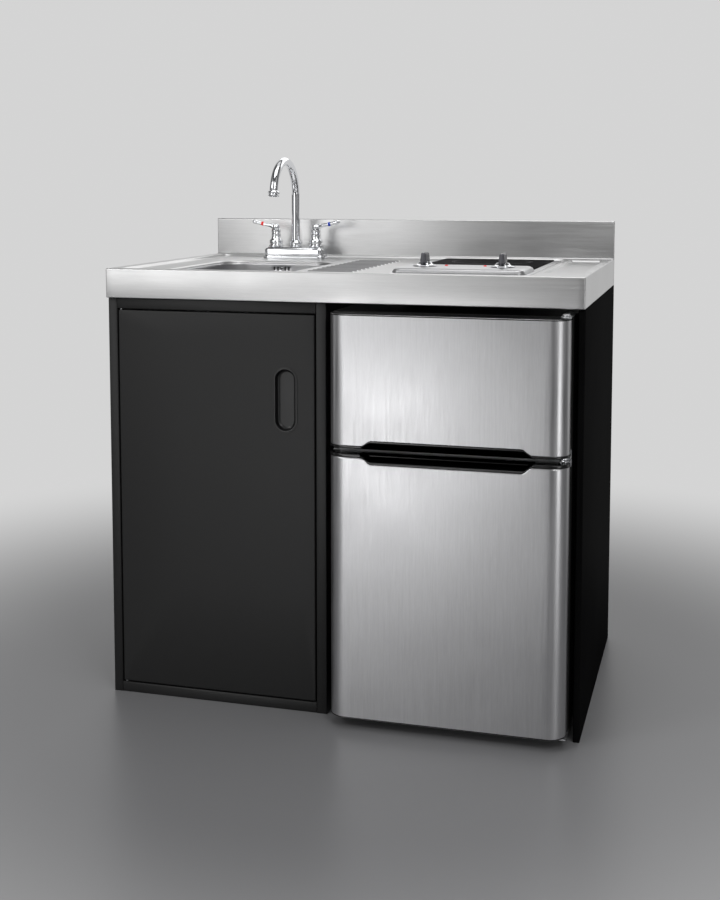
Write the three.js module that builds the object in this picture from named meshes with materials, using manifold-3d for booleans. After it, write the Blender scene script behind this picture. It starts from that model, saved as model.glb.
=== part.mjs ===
// Kitchenette unit: a stainless worktop with a sink, a mixer tap and a two-zone hob, on a cabinet with a
// cupboard on the left and a two-door refrigerator in the bay on the right.
//
// Millimetres. x runs from the worktop's left end to its right end, y from the front of the worktop's apron
// to the back, and z up from the floor. The last lines move the whole to its own origin.
import * as THREE from "three";
import { mergeVertices } from "three/addons/utils/BufferGeometryUtils.js";
import Module from "manifold-3d";

const wasm = await Module();
wasm.setup();

// ---------------------------------------------------------------- driving dimensions
const fitGap = 0.3; // between two pieces that are seated on each other
const runGap = 0.3; // round a pin or a shaft that turns
const cutPast = 1; // how far a cutting form reaches past the face that it cuts

// Worktop
const worktopWidth = 990;
const worktopDepth = 635;
const worktopHeight = 908;
const worktopSheet = 1.5;
const apronHeight = 61;
const apronReturn = 14;
const borderFront = 22;
const borderLeft = 22;
const borderRear = 10;
const deckRight = 884;
const deckDrop = 5.5;
const deckBevel = 5;
const upstandHeight = 89;
const upstandThickness = 12;
const recessLeft = 892;
const recessRight = 972;
const recessFront = 112;
const recessSetback = 61; // from the recess to the back of the worktop
const recessBevel = 8;

// Drainer ribs between the sink and the hob
const ribCount = 13;
const ribPitch = 32.4;
const ribLeft = 405;
const ribLength = 105;
const ribFirst = 104;
const ribWidth = 9;
const ribHeight = 2.5;

// Sink
const bowlLeft = 100;
const bowlFront = 60;
const bowlWidth = 275;
const bowlLength = 370;
const bowlDepth = 152;
const bowlCorner = 60;
const bowlFloorRadius = 30;
const bowlSheet = 1.2;
const bowlFlange = 14;
const wasteHole = 38.5;
const wasteFlange = 43;
const wasteWall = 3;
const wasteCup = 30;
const wasteTaper = 16;
const wasteTail = 26;
const wasteTailRadius = 19;
const wasteBar = 3;
const overflowDrop = 17.5;
const overflowPitch = 9;
const overflowSlotWidth = 3.7;
const overflowSlotHeight = 8.7;
const overflowScrew = 3;
const housingWidth = 58;
const housingDepth = 18;
const housingHeight = 26;
const hoseRadius = 9;
const hoseBend = 75;
const inletDrop = 22;
const inletReach = 16;
const trapRadius = 21;
const trapBore = 18;
const trapNut = 28;
const trapNutHeight = 22;
const trapBend = 46;
const trapDip = 70;
const trapOutletRise = 34;
const trapOutletStep = 38;
const trapOutletBend = 90;
const trapOutletRun = 40;

// Mixer tap
const tapX = 228;
const tapSetback = 58; // from the tap's line to the upstand
const tapBaseWidth = 156;
const tapBaseDepth = 54;
const tapPlinth = 7;
const tapBaseHeight = 27;
const tapShoulder = 7;
const tapCentres = 102;
const tapShank = 10.5;
const tapShankDrop = 52;
const tapHoleGap = 2;
const bonnetRadius = 18;
const bonnetHeight = 36;
const bonnetNeck = 10.5;
const leverReach = 61;
const leverRise = 16;
const leverHub = 12;
const leverHubHeight = 20;
const leverRadius = 5;
const spoutRadius = 9.75;
const spoutArc = 80;
const spoutRise = 110;
const spoutSweep = 170; // degrees that the arc turns through
const spoutDrop = 2;
const spoutNutRadius = 15;
const spoutNutHeight = 16;
const spoutStub = 4;
const aeratorRadius = 14;
const aeratorHeight = 13;
const clampBar = 4;
const clampNut = 17;
const clampNutHeight = 9;

// Hob
const hobX = 732;
const hobWidth = 286;
const hobFront = 50;
const hobSetback = 43; // from the hob to the back of the deck
const hobFrameTop = 3.5;
const hobLedge = 1.5;
const glassWidth = 254;
const glassFront = 202;
const glassBorder = 8; // from the glass to the back of the hob
const glassThickness = 3.5;
const glassSeat = 7;
const panelFront = 57;
const panelDepth = 142;
const panelWidth = 270;
const panelRise = 10;
const panelBevel = 9;
const panelSheet = 1.2;
const traySheet = 1.2;
const trayInset = 12;
const trayDepth = 52;
const trayCutGap = 3;
// The zones' radii and middles as shares of the glass's length, so that they fill a glass of any length.
const zoneShareFront = 0.2;
const zoneShareRear = 0.25;
const zoneMiddleFront = 0.25; // from the front of the glass
const zoneMiddleRear = 0.289; // from the back of the glass
const elementHeight = 25;
const elementPost = 20;
const knobSpread = 80;
const knobY = 128;
const knobSkirt = 25;
const knobSkirtHeight = 5;
const knobHeight = 28;
const knobGripWidth = 13;
const knobGripLength = 40;
const knobWall = 5;
const shaftRadius = 3;
const regulatorWidth = 46;
const regulatorDepth = 40;
const regulatorHeight = 30;
const lampSpread = 40;
const lampY = 150;
const lampRadius = 3.2;
const lampProud = 1.2;
const chassisSheet = 2;
const terminalWidth = 84;
const terminalDepth = 60;
const terminalHeight = 22;
const glandRadius = 9;
const glandLength = 14;

// Cabinet
const cabinetSetback = 11;
const cabinetSheet = 1.5;
const stileLeft = 20;
const stileMiddle = 22;
const stileRight = 13;
const stileReturn = 34;
const cupboardWidth = 477;
const railTop = 23;
const railBottom = 22;
const railReturn = 20;
const sideFlange = 15;
const rightReturn = 49;
const pipeHoleWidth = 190;
const pipeHoleHeight = 180;
const rearRailHeight = 60;

// Cupboard door
const doorGap = 2.3;
const doorThickness = 18;
const doorSheet = 1.2;
const doorEdgeRadius = 2.5;
const doorAxisInset = 4.7;
const doorAxisDepth = 5.5;
const pivotRadius = 2.5;
const pivotHead = 3.7;
const pivotHeadHeight = 2.2;
const pivotReach = 12;
const pullInset = 62.7; // from the middle of the pull to the door's free edge
const pullDrop = 174.9; // from the door's top to the middle of the pull
const pullWidth = 44;
const pullHeight = 127;
const pullRing = 4;
const pullProud = 1;
const pullDepth = 14;
const pullWall = 1.2;
const catchWidth = 14;
const catchDepth = 13;
const catchHeight = 44;
const catchZ = 430;

// Refrigerator
const fridgeGapLeft = 18; // between the refrigerator and the divider
const fridgeGapRight = 9; // between the refrigerator and the right stile
const fridgeFront = 6;
const fridgeGapBack = 165; // behind the refrigerator, to the back of the cabinet
const fridgeBottom = 22;
const fridgeGapTop = 14.7; // between the refrigerator and the worktop's apron
const casingSheet = 1.2;
const casingWall = 38;
const casingBack = 40;
const liningSheet = 2;
const liningFlange = 12;
const freezerBottom = 600;
const freezerRoof = 36;
const chillerBottom = 62;
const chillerTop = 546;
const stepTop = 232;
const stepDepth = 165;
const compressorRoof = 194;
const shelfThickness = 5;
const shelfZUpper = 400;
const shelfZLower = 250;
const shelfFront = 34;
const shelfLedge = 7;
const dialRadius = 15;
const dialWidth = 8;
const dialAxle = 4;
const dialY = 150;
const dialZ = 488;
const dialBox = 22;
const dialBoxLength = 70;
const dialBoxHeight = 44;
const rearFootInset = 10;
const rearFootSize = 26;
const footRadius = 14;
const footInset = 45;
const footStem = 6;
const footPad = 9;
const compressorRadius = 58;
const compressorHeight = 128;

// Refrigerator doors
const doorProud = 61; // from the cabinet's front plane to the front of the doors
const leafThickness = 47;
const leafCorner = 36;
const leafSheet = 1.2;
const leafEnd = 2;
const leafBackplate = 7;
const freezerDoorDrop = 1; // from the top of the casing to the top of the freezer's door
const freezerDoorBottom = 568;
const freezerSkinBottom = 573;
const chillerDoorTop = 557;
const chillerSkinTop = 550;
const chillerDoorBottom = 23;
const pocketInsetLeft = 73;
const pocketInsetRight = 70;
const pocketSlope = 15;
const pocketTop = 584;
const pocketBottom = 538;
const pocketLip = 4;
const pocketSide = 9;
const pocketDepth = 26;
const pocketWall = 2.5;
const dykeInset = 50;
const dykeClear = 20;
const dykeWall = 8;
const dykeDepth = 20;
const gasketInset = 17;
const gasketInsetEnd = 14;
const gasketInsetHinge = 24;
const gasketWidth = 12;
const hingeInset = 10;
const hingeDepth = 30;
const hingePin = 3;
const hingePlate = 3;
const hingePlateWidth = 22;
const hingeReach = 60;
const hingePinReach = 18;
const hingeCap = 8;
const hingeCapHeight = 5;
const hingeFlangeHeight = 34;

// ---------------------------------------------------------------- finishes
function finish(color, roughness, metalness) {
  return new THREE.MeshStandardMaterial({ color, roughness, metalness });
}
const brushedSteel = finish(0xc4c6c8, 0.35, 1);
const chrome = finish(0xd8dadc, 0.08, 1);
const blackSteel = finish(0x111113, 0.5, 0.2);
const blackPlastic = finish(0x0b0b0c, 0.15, 0);
const blackGlass = finish(0x050506, 0.05, 0);
const zincSteel = finish(0x9a9ca0, 0.45, 1);
const whitePlastic = finish(0xe8e9ea, 0.4, 0);
const greyRubber = finish(0x55565a, 0.8, 0);
const clearGlass = finish(0xcfe0dd, 0.05, 0);
const darkSteel = finish(0x1c1c1f, 0.45, 0.6);

// ---------------------------------------------------------------- solids and forms
/** A closed geometry as a solid that joins and cuts, with its faces pointing out. */
function solid(geometry) {
  const bare = geometry.clone();
  bare.deleteAttribute("normal");
  bare.deleteAttribute("uv");
  const merged = mergeVertices(bare, 1e-4);
  const corners = merged.index.array;
  const kept = [];
  for (let i = 0; i < corners.length; i += 3) {
    const [a, b, c] = [corners[i], corners[i + 1], corners[i + 2]];
    if (a !== b && b !== c && c !== a) kept.push(a, b, c);
  }
  const made = (triangles) =>
    new wasm.Manifold(
      new wasm.Mesh({
        numProp: 3,
        vertProperties: merged.attributes.position.array,
        triVerts: new Uint32Array(triangles),
      }),
    );
  const first = made(kept);
  return first.volume() >= 0 ? first : made(kept.reverse());
}

/** One solid out of many that touch or overlap. */
function joined(...solids) {
  return solids.reduce((all, one) => all.add(one));
}

/** The first solid without the others. */
function cut(body, ...tools) {
  return tools.reduce((left, tool) => left.subtract(tool), body);
}

/** A named mesh of a solid, in its finish. */
function piece(name, body, material) {
  const { vertProperties, triVerts } = body.getMesh();
  const indexed = new THREE.BufferGeometry();
  indexed.setAttribute("position", new THREE.BufferAttribute(new Float32Array(vertProperties), 3));
  indexed.setIndex(new THREE.BufferAttribute(new Uint32Array(triVerts), 1));
  const geometry = indexed.toNonIndexed();
  geometry.computeVertexNormals();
  const mesh = new THREE.Mesh(geometry, material);
  mesh.name = name;
  return mesh;
}

/** A box between two x, two y and two z values. */
function block(x0, x1, y0, y1, z0, z1) {
  const box = new THREE.BoxGeometry(x1 - x0, y1 - y0, z1 - z0);
  box.translate((x0 + x1) / 2, (y0 + y1) / 2, (z0 + z1) / 2);
  return solid(box);
}

/** A flat outline through points, in the plane that the caller extrudes from. */
function outline(points) {
  return new THREE.Shape(points.map(([u, v]) => new THREE.Vector2(u, v)));
}

/** A rectangle with round corners. */
function roundedRectangle(u0, u1, v0, v1, r) {
  const shape = new THREE.Shape();
  shape.absarc(u1 - r, v0 + r, r, -Math.PI / 2, 0, false);
  shape.absarc(u1 - r, v1 - r, r, 0, Math.PI / 2, false);
  shape.absarc(u0 + r, v1 - r, r, Math.PI / 2, Math.PI, false);
  shape.absarc(u0 + r, v0 + r, r, Math.PI, 1.5 * Math.PI, false);
  shape.closePath();
  return shape;
}

function extruded(shape, length, curveSegments) {
  return new THREE.ExtrudeGeometry(shape, { depth: length, bevelEnabled: false, curveSegments });
}

/** An outline in x and y, from z0 up to z1. */
function upright(shape, z0, z1, curveSegments = 3) {
  return solid(extruded(shape, z1 - z0, curveSegments).translate(0, 0, z0));
}

/** An outline in y and z, from x0 to x1. */
function along(shape, x0, x1, curveSegments = 3) {
  const turn = new THREE.Matrix4().makeBasis(
    new THREE.Vector3(0, 1, 0),
    new THREE.Vector3(0, 0, 1),
    new THREE.Vector3(1, 0, 0),
  );
  return solid(extruded(shape, x1 - x0, curveSegments).applyMatrix4(turn).translate(x0, 0, 0));
}

/** An outline in x and z, from y0 back to y1. */
function backward(shape, y0, y1, curveSegments = 5) {
  const turn = new THREE.Matrix4().makeBasis(
    new THREE.Vector3(1, 0, 0),
    new THREE.Vector3(0, 0, 1),
    new THREE.Vector3(0, -1, 0),
  );
  return solid(extruded(shape, y1 - y0, curveSegments).applyMatrix4(turn).translate(0, y1, 0));
}

/** A vertical round bar. */
function rod(x, y, radius, z0, z1, sides = 16) {
  const bar = new THREE.CylinderGeometry(radius, radius, z1 - z0, sides);
  bar.rotateX(Math.PI / 2).translate(x, y, (z0 + z1) / 2);
  return solid(bar);
}

/** A profile of [radius, z] points turned about a vertical axis. */
function turned(x, y, profile, sides = 20) {
  const points = profile.map(([r, z]) => new THREE.Vector2(r, z));
  return solid(new THREE.LatheGeometry(points, sides).rotateX(Math.PI / 2).translate(x, y, 0));
}

/** A round bar along a curve. */
function bar(curve, radius, steps, sides) {
  const section = new THREE.Shape();
  section.absarc(0, 0, radius, 0, 2 * Math.PI, false);
  // A full circle takes two points for each of its curve segments.
  const options = { steps, extrudePath: curve, bevelEnabled: false, curveSegments: sides / 2 };
  return solid(new THREE.ExtrudeGeometry(section, options));
}

/** A smooth curve through [x, y, z] points. */
function curveThrough(points) {
  return new THREE.CatmullRomCurve3(points.map((p) => new THREE.Vector3(...p)), false, "centripetal");
}

/** A solid through rounded rectangles of one corner count, each {x0, x1, y0, y1, r, z}. */
function lofted(levels, steps = 4) {
  const places = [];
  const triangles = [];
  const ringSize = 4 * (steps + 1);
  for (const { x0, x1, y0, y1, r, z } of levels) {
    const centres = [
      [x1 - r, y0 + r],
      [x1 - r, y1 - r],
      [x0 + r, y1 - r],
      [x0 + r, y0 + r],
    ];
    centres.forEach(([cx, cy], corner) => {
      for (let i = 0; i <= steps; i++) {
        const angle = ((corner - 1 + i / steps) * Math.PI) / 2;
        places.push(cx + r * Math.cos(angle), cy + r * Math.sin(angle), z);
      }
    });
  }
  for (let level = 0; level + 1 < levels.length; level++)
    for (let i = 0; i < ringSize; i++) {
      const a = level * ringSize + i;
      const b = level * ringSize + ((i + 1) % ringSize);
      triangles.push(a, b, b + ringSize, a, b + ringSize, a + ringSize);
    }
  const last = (levels.length - 1) * ringSize;
  [0, last].forEach((start, end) => {
    const { x0, x1, y0, y1, z } = end ? levels.at(-1) : levels[0];
    const centre = places.length / 3;
    places.push((x0 + x1) / 2, (y0 + y1) / 2, z);
    for (let i = 0; i < ringSize; i++) {
      const a = start + i;
      const b = start + ((i + 1) % ringSize);
      triangles.push(...(end ? [a, b, centre] : [b, a, centre]));
    }
  });
  const geometry = new THREE.BufferGeometry();
  geometry.setAttribute("position", new THREE.BufferAttribute(new Float32Array(places), 3));
  geometry.setIndex(triangles);
  return solid(geometry);
}

/** A block whose four sides lean in by `lean` on the way down from z1 to z0, and go on above z1. */
function trough(x0, x1, y0, y1, z0, z1, lean) {
  const past = (cutPast * lean) / (z1 - z0);
  const box = new THREE.BoxGeometry(1, 1, 1);
  const place = box.attributes.position;
  for (let i = 0; i < place.count; i++) {
    const top = place.getZ(i) > 0;
    const out = top ? past : -lean;
    place.setXYZ(
      i,
      place.getX(i) > 0 ? x1 + out : x0 - out,
      place.getY(i) > 0 ? y1 + out : y0 - out,
      top ? z1 + cutPast : z0,
    );
  }
  return solid(box);
}

// ---------------------------------------------------------------- heights and planes that pieces share
const apronBottom = worktopHeight - apronHeight;
const deckTop = worktopHeight - deckDrop;
const deckUnder = deckTop - worktopSheet;
const upstandFront = worktopDepth - upstandThickness;
const cabinetTop = apronBottom - fitGap;
const cabinetFront = cabinetSetback;
const cabinetBack = worktopDepth;
const bayLeft = cupboardWidth;
const deckBack = upstandFront - borderRear;
const recessBack = worktopDepth - recessSetback;
const tapY = upstandFront - tapSetback;
const hobBack = deckBack - hobSetback;
const fridgeLeft = cupboardWidth + fridgeGapLeft;
const fridgeRight = worktopWidth - stileRight - fridgeGapRight;
const fridgeTop = cabinetTop - fridgeGapTop;
const freezerTop = fridgeTop - freezerRoof;

// ---------------------------------------------------------------- worktop
const bowlRight = bowlLeft + bowlWidth;
const bowlBack = bowlFront + bowlLength;
const hobLeft = hobX - hobWidth / 2;
const hobRight = hobX + hobWidth / 2;
const trayLeft = hobLeft + trayInset;
const trayRight = hobRight - trayInset;
const trayFront = hobFront + trayInset;
const trayBack = hobBack - trayInset;
const tapShanks = [tapX - tapCentres / 2, tapX + tapCentres / 2];

/** The hollows of the worktop's top: the deck and the recess on the right, grown by `out` and sunk by it. */
function hollows(out) {
  return joined(
    trough(
      borderLeft - out,
      deckRight + out,
      borderFront - out,
      deckBack + out,
      deckTop - out,
      worktopHeight - out,
      deckBevel,
    ),
    trough(
      recessLeft - out,
      recessRight + out,
      recessFront - out,
      recessBack + out,
      deckTop - out,
      worktopHeight - out,
      recessBevel,
    ),
  );
}

function worktop() {
  const inset = worktopSheet;
  const top = worktopHeight + upstandHeight;
  const outer = joined(
    block(0, worktopWidth, 0, worktopDepth, apronBottom, worktopHeight),
    block(0, worktopWidth, upstandFront, worktopDepth, apronBottom, top),
  );
  const under = cut(
    block(
      inset,
      worktopWidth - inset,
      inset,
      worktopDepth - inset,
      apronBottom + worktopSheet,
      worktopHeight - worktopSheet,
    ),
    hollows(worktopSheet),
  );
  const mouth = block(
    apronReturn,
    worktopWidth - apronReturn,
    apronReturn,
    worktopDepth - apronReturn,
    apronBottom - cutPast,
    apronBottom + 2 * worktopSheet,
  );
  const upstandInside = block(
    inset,
    worktopWidth - inset,
    upstandFront + inset,
    worktopDepth - inset,
    worktopHeight - 2 * worktopSheet,
    top - worktopSheet,
  );
  const bowlHole = upright(
    roundedRectangle(bowlLeft, bowlRight, bowlFront, bowlBack, bowlCorner),
    deckUnder - cutPast,
    worktopHeight,
    4,
  );
  const hobHole = block(
    trayLeft - trayCutGap,
    trayRight + trayCutGap,
    trayFront - trayCutGap,
    trayBack + trayCutGap,
    deckUnder - cutPast,
    worktopHeight,
  );
  const shankHoles = tapShanks.map((x) =>
    rod(x, tapY, tapShank + tapHoleGap, deckUnder - cutPast, worktopHeight),
  );
  const pressed = cut(outer, hollows(0), under, mouth, upstandInside, bowlHole, hobHole, ...shankHoles);
  const ribOutline = (y) =>
    outline([
      [y - ribWidth / 2, deckTop - worktopSheet / 2],
      [y + ribWidth / 2, deckTop - worktopSheet / 2],
      [y + ribWidth / 2, deckTop],
      [y + ribWidth / 4, deckTop + ribHeight],
      [y - ribWidth / 4, deckTop + ribHeight],
      [y - ribWidth / 2, deckTop],
    ]);
  const ribs = Array.from({ length: ribCount }, (_, i) =>
    along(ribOutline(ribFirst + i * ribPitch), ribLeft, ribLeft + ribLength),
  );
  return piece("worktop", joined(pressed, ...ribs), brushedSteel);
}

// ---------------------------------------------------------------- sink
const bowlRim = deckUnder - fitGap;
const bowlFloor = deckTop - bowlDepth;
const wasteX = (bowlLeft + bowlRight) / 2;
const wasteY = (bowlFront + bowlBack) / 2;
const overflowX = wasteX;
const overflowZ = deckTop - overflowDrop;
const wasteBottom = bowlFloor - wasteCup - wasteTaper - wasteTail;
const housingFront = bowlBack + bowlSheet + fitGap;
const hoseY = housingFront + housingDepth / 2;

/** The bowl's form: upright walls down to a round floor, grown by `out`, with its top at `topZ`. */
function bowlForm(out, topZ) {
  const radius = bowlFloorRadius + out;
  const floor = bowlFloor - out;
  const level = (inset, z) => ({
    x0: bowlLeft - out + inset,
    x1: bowlRight + out - inset,
    y0: bowlFront - out + inset,
    y1: bowlBack + out - inset,
    r: bowlCorner + out - inset,
    z,
  });
  const steps = 4;
  const round = Array.from({ length: steps + 1 }, (_, i) => {
    const angle = ((1 - i / steps) * Math.PI) / 2;
    return level(radius * (1 - Math.sin(angle)), floor + radius * (1 - Math.cos(angle)));
  });
  // The levels run from the flat floor up the round corner to the rim.
  return lofted([...round.reverse(), level(0, topZ)]);
}

function sinkBowl() {
  const flange = upright(
    roundedRectangle(
      bowlLeft - bowlFlange,
      bowlRight + bowlFlange,
      bowlFront - bowlFlange,
      bowlBack + bowlFlange,
      bowlCorner + bowlFlange,
    ),
    bowlRim - bowlSheet,
    bowlRim,
    4,
  );
  const slots = [-2, -1, 1, 2].map((place) => {
    const x = overflowX + place * overflowPitch;
    const half = overflowSlotWidth / 2;
    const z = overflowZ - overflowSlotHeight / 2;
    return block(x - half, x + half, bowlBack - cutPast, housingFront, z, z + overflowSlotHeight);
  });
  const screwHole = backward(
    circle(overflowX, overflowZ, overflowScrew / 2 + fitGap),
    bowlBack - cutPast,
    housingFront,
  );
  return piece(
    "sink_bowl",
    cut(
      joined(flange, bowlForm(bowlSheet, bowlRim)),
      bowlForm(0, bowlRim + cutPast),
      rod(wasteX, wasteY, wasteHole, bowlFloor - 5, bowlFloor + 5, 24),
      screwHole,
      ...slots,
    ),
    brushedSteel,
  );
}

/** A circle as an outline. */
function circle(u, v, radius) {
  const shape = new THREE.Shape();
  shape.absarc(u, v, radius, 0, 2 * Math.PI, false);
  return shape;
}

function sinkWaste() {
  const body = wasteHole - fitGap;
  const inner = body - wasteWall;
  const seat = bowlFloor + fitGap;
  const tailInner = wasteTailRadius - wasteWall;
  const cupBottom = bowlFloor - wasteCup;
  const coneBottom = cupBottom - wasteTaper;
  const shell = turned(
    wasteX,
    wasteY,
    [
      [inner, seat + 2],
      [wasteFlange, seat + 1.5],
      [wasteFlange, seat],
      [body, seat],
      [body, cupBottom],
      [wasteTailRadius, coneBottom],
      [wasteTailRadius, wasteBottom],
      [tailInner, wasteBottom],
      [tailInner, coneBottom + wasteWall],
      [inner, cupBottom + wasteWall],
      [inner, seat + 2],
    ],
    24,
  );
  const reach = inner + 1;
  const half = wasteBar / 2;
  const bars = [
    block(wasteX - reach, wasteX + reach, wasteY - half, wasteY + half, seat - 2, seat + 1),
    block(wasteX - half, wasteX + half, wasteY - reach, wasteY + reach, seat - 2, seat + 1),
  ];
  const inletZ = bowlFloor - inletDrop;
  const inlet = backward(
    circle(wasteX, inletZ, hoseRadius),
    wasteY + inner + 1,
    wasteY + body + inletReach,
  );
  return piece("sink_waste", joined(shell, ...bars, inlet), chrome);
}

function overflowHousing() {
  const half = housingWidth / 2;
  const z0 = overflowZ - housingHeight / 2;
  const z1 = overflowZ + housingHeight / 2;
  const wall = 2;
  const back = housingFront + housingDepth;
  const shell = cut(
    block(overflowX - half, overflowX + half, housingFront, back, z0, z1),
    block(
      overflowX - half + wall,
      overflowX + half - wall,
      housingFront - cutPast,
      back - wall,
      z0 + wall,
      z1 - wall,
    ),
  );
  const screw = backward(
    circle(overflowX, overflowZ, overflowScrew / 2),
    bowlBack - fitGap,
    back - wall / 2,
    4,
  );
  const head = backward(circle(overflowX, overflowZ, overflowScrew), bowlBack - 2, bowlBack - fitGap, 4);
  const spigot = rod(overflowX, hoseY, hoseRadius - 1, z0 - 8, z0 + wall, 12);
  return piece("overflow_housing", joined(shell, screw, head, spigot), greyRubber);
}

function overflowHose() {
  const top = overflowZ - housingHeight / 2 - 8 - fitGap;
  const inletZ = bowlFloor - inletDrop;
  const end = wasteY + wasteHole - fitGap + inletReach + fitGap;
  const path = curveThrough([
    [overflowX, hoseY, top],
    [overflowX, hoseY, top - 20],
    [overflowX, hoseY, inletZ + hoseBend],
    [overflowX - 1, hoseY - 4, inletZ + 0.4 * hoseBend],
    [overflowX - 4, hoseY - 32, inletZ + 2],
    [wasteX, hoseY - hoseBend - 5, inletZ],
    [wasteX, end + 20, inletZ],
    [wasteX, end, inletZ],
  ]);
  return piece("overflow_hose", bar(path, hoseRadius, 20, 8), greyRubber);
}

function sinkTrap() {
  const top = wasteBottom - fitGap;
  const dip = top - trapDip;
  const rise = dip + trapOutletRise;
  const bend = (side, z, steps, from, to) =>
    Array.from({ length: steps + 1 }, (_, i) => {
      const angle = from + ((to - from) * i) / steps;
      return [wasteX, side + trapBend * Math.cos(angle), z + trapBend * Math.sin(angle)];
    });
  const centre = wasteY + trapBend;
  const outletZ = rise + trapOutletStep;
  // The pipe's centre line, its two ends `past` beyond the pipe's own ends.
  const centreLine = (past) =>
    curveThrough([
      [wasteX, wasteY, top + past],
      [wasteX, wasteY, top - trapDip / 2],
      ...bend(centre, dip, 6, Math.PI, 2 * Math.PI),
      [wasteX, centre + trapBend + 6, rise],
      [wasteX, centre + trapBend + trapOutletRun, outletZ - 4],
      [wasteX, centre + trapBend + trapOutletBend, outletZ],
      [wasteX, cabinetBack - trapOutletRun, outletZ],
      [wasteX, cabinetBack + past, outletZ],
    ]);
  const nut = rod(wasteX, wasteY, trapNut, top - trapNutHeight, top, 8);
  const wall = joined(bar(centreLine(0), trapRadius, 22, 10), nut);
  const pipe = cut(wall, bar(centreLine(cutPast), trapBore, 22, 8));
  return piece("sink_trap", pipe, whitePlastic);
}

// ---------------------------------------------------------------- mixer tap
const tapSeat = deckTop + fitGap;
const tapTop = tapSeat + tapBaseHeight;
const bonnetTop = tapTop + fitGap + bonnetHeight;
const nutTop = tapTop + fitGap + spoutNutHeight;
const spoutBottom = tapTop + fitGap + spoutStub;
const arcZ = nutTop + spoutRise;
const arcEnd = (spoutSweep * Math.PI) / 180;
const outletDirection = new THREE.Vector3(0, -Math.sin(arcEnd), Math.cos(arcEnd));
const outlet = new THREE.Vector3(
  tapX,
  tapY - spoutArc + spoutArc * Math.cos(arcEnd),
  arcZ + spoutArc * Math.sin(arcEnd),
).addScaledVector(outletDirection, spoutDrop);

function tapBase() {
  const level = (inset, r, z) => ({
    x0: tapX - tapBaseWidth / 2 + inset,
    x1: tapX + tapBaseWidth / 2 - inset,
    y0: tapY - tapBaseDepth / 2 + inset,
    y1: tapY + tapBaseDepth / 2 - inset,
    r,
    z,
  });
  const corner = 14;
  const body = lofted([
    level(0, corner, tapSeat),
    level(0, corner, tapSeat + tapPlinth - 2),
    level(2, corner - 2, tapSeat + tapPlinth),
    level(tapShoulder / 2, corner - 3, tapTop - 5),
    level(tapShoulder, corner - 6, tapTop),
  ]);
  const shanks = tapShanks.map((x) => rod(x, tapY, tapShank, tapSeat - tapShankDrop, tapTop - 1, 12));
  return piece("tap_base", joined(body, ...shanks), chrome);
}

function tapClamp() {
  const z1 = deckUnder - fitGap;
  const z0 = z1 - clampBar;
  const half = tapCentres / 2 + clampNut + 3;
  const nuts = tapShanks.map((x) => rod(x, tapY, clampNut, z0 - clampNutHeight, z0, 6));
  const holes = tapShanks.map((x) =>
    rod(x, tapY, tapShank + fitGap, z0 - clampNutHeight - cutPast, z1 + cutPast, 12),
  );
  const body = joined(block(tapX - half, tapX + half, tapY - clampNut, tapY + clampNut, z0, z1), ...nuts);
  return piece("tap_clamp", cut(body, ...holes), zincSteel);
}

function tapBonnet(name, x) {
  const z = tapTop + fitGap;
  const r = bonnetRadius;
  const profile = [
    [0, z],
    [r - 1, z],
    [r, z + 2],
    [r - 1, z + 5],
    [r - 4, z + 7],
    [r - 2, z + 12],
    [r - 3, z + 18],
    [bonnetNeck + 1, z + bonnetHeight - 10],
    [bonnetNeck, z + bonnetHeight - 4],
    [bonnetNeck - 1, z + bonnetHeight],
    [0, z + bonnetHeight],
  ];
  return piece(name, turned(x, tapY, profile, 16), chrome);
}

function tapLever(name, x, side) {
  const z = bonnetTop + fitGap;
  const hub = turned(
    x,
    tapY,
    [
      [0, z],
      [leverHub - 1, z],
      [leverHub, z + 3],
      [leverHub - 3, z + leverHubHeight - 4],
      [leverHub - 8, z + leverHubHeight],
      [0, z + leverHubHeight],
    ],
    16,
  );
  const start = z + leverHubHeight / 2;
  const path = curveThrough([
    [x, tapY, start],
    [x + side * leverReach * 0.25, tapY, start + leverRise * 0.35],
    [x + side * leverReach * 0.55, tapY, start + leverRise * 0.6],
    [x + side * leverReach, tapY, start + leverRise],
  ]);
  return piece(name, joined(hub, bar(path, leverRadius, 8, 8)), chrome);
}

function tapSpoutNut() {
  const z = tapTop + fitGap;
  const bore = spoutRadius + runGap;
  const r = spoutNutRadius;
  const profile = [
    [bore, z],
    [r, z],
    [r + 1, z + 3],
    [r - 2, z + 7],
    [r - 1, z + spoutNutHeight - 4],
    [bore + 1.5, z + spoutNutHeight],
    [bore, z + spoutNutHeight],
    [bore, z],
  ];
  return piece("tap_spout_nut", turned(tapX, tapY, profile, 20), chrome);
}

function tapSpout() {
  const arc = Array.from({ length: 13 }, (_, i) => {
    const angle = (i * arcEnd) / 12;
    return [tapX, tapY - spoutArc + spoutArc * Math.cos(angle), arcZ + spoutArc * Math.sin(angle)];
  });
  const path = curveThrough([
    [tapX, tapY, spoutBottom - spoutStub],
    [tapX, tapY, (spoutBottom + arcZ) / 2],
    ...arc,
    outlet.toArray(),
  ]);
  return piece("tap_spout", bar(path, spoutRadius, 26, 12), chrome);
}

/** The outlet ring, turned about the z axis and then laid along the end of the spout. */
function tapAerator() {
  const r = aeratorRadius;
  const h = aeratorHeight;
  const profile = [
    [0, -h],
    [r - 2, -h],
    [r - 1, 2 - h],
    [r - 3, 4 - h],
    [r, -6],
    [r - 1, -3],
    [spoutRadius, 0],
    [0, 0],
  ].map(([radius, height]) => new THREE.Vector2(radius, height));
  const ring = new THREE.LatheGeometry(profile, 16).rotateX(Math.PI / 2);
  const seat = outlet.clone().addScaledVector(outletDirection, fitGap);
  ring.rotateX(arcEnd - Math.PI).translate(...seat.toArray());
  return piece("tap_aerator", solid(ring), chrome);
}

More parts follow.
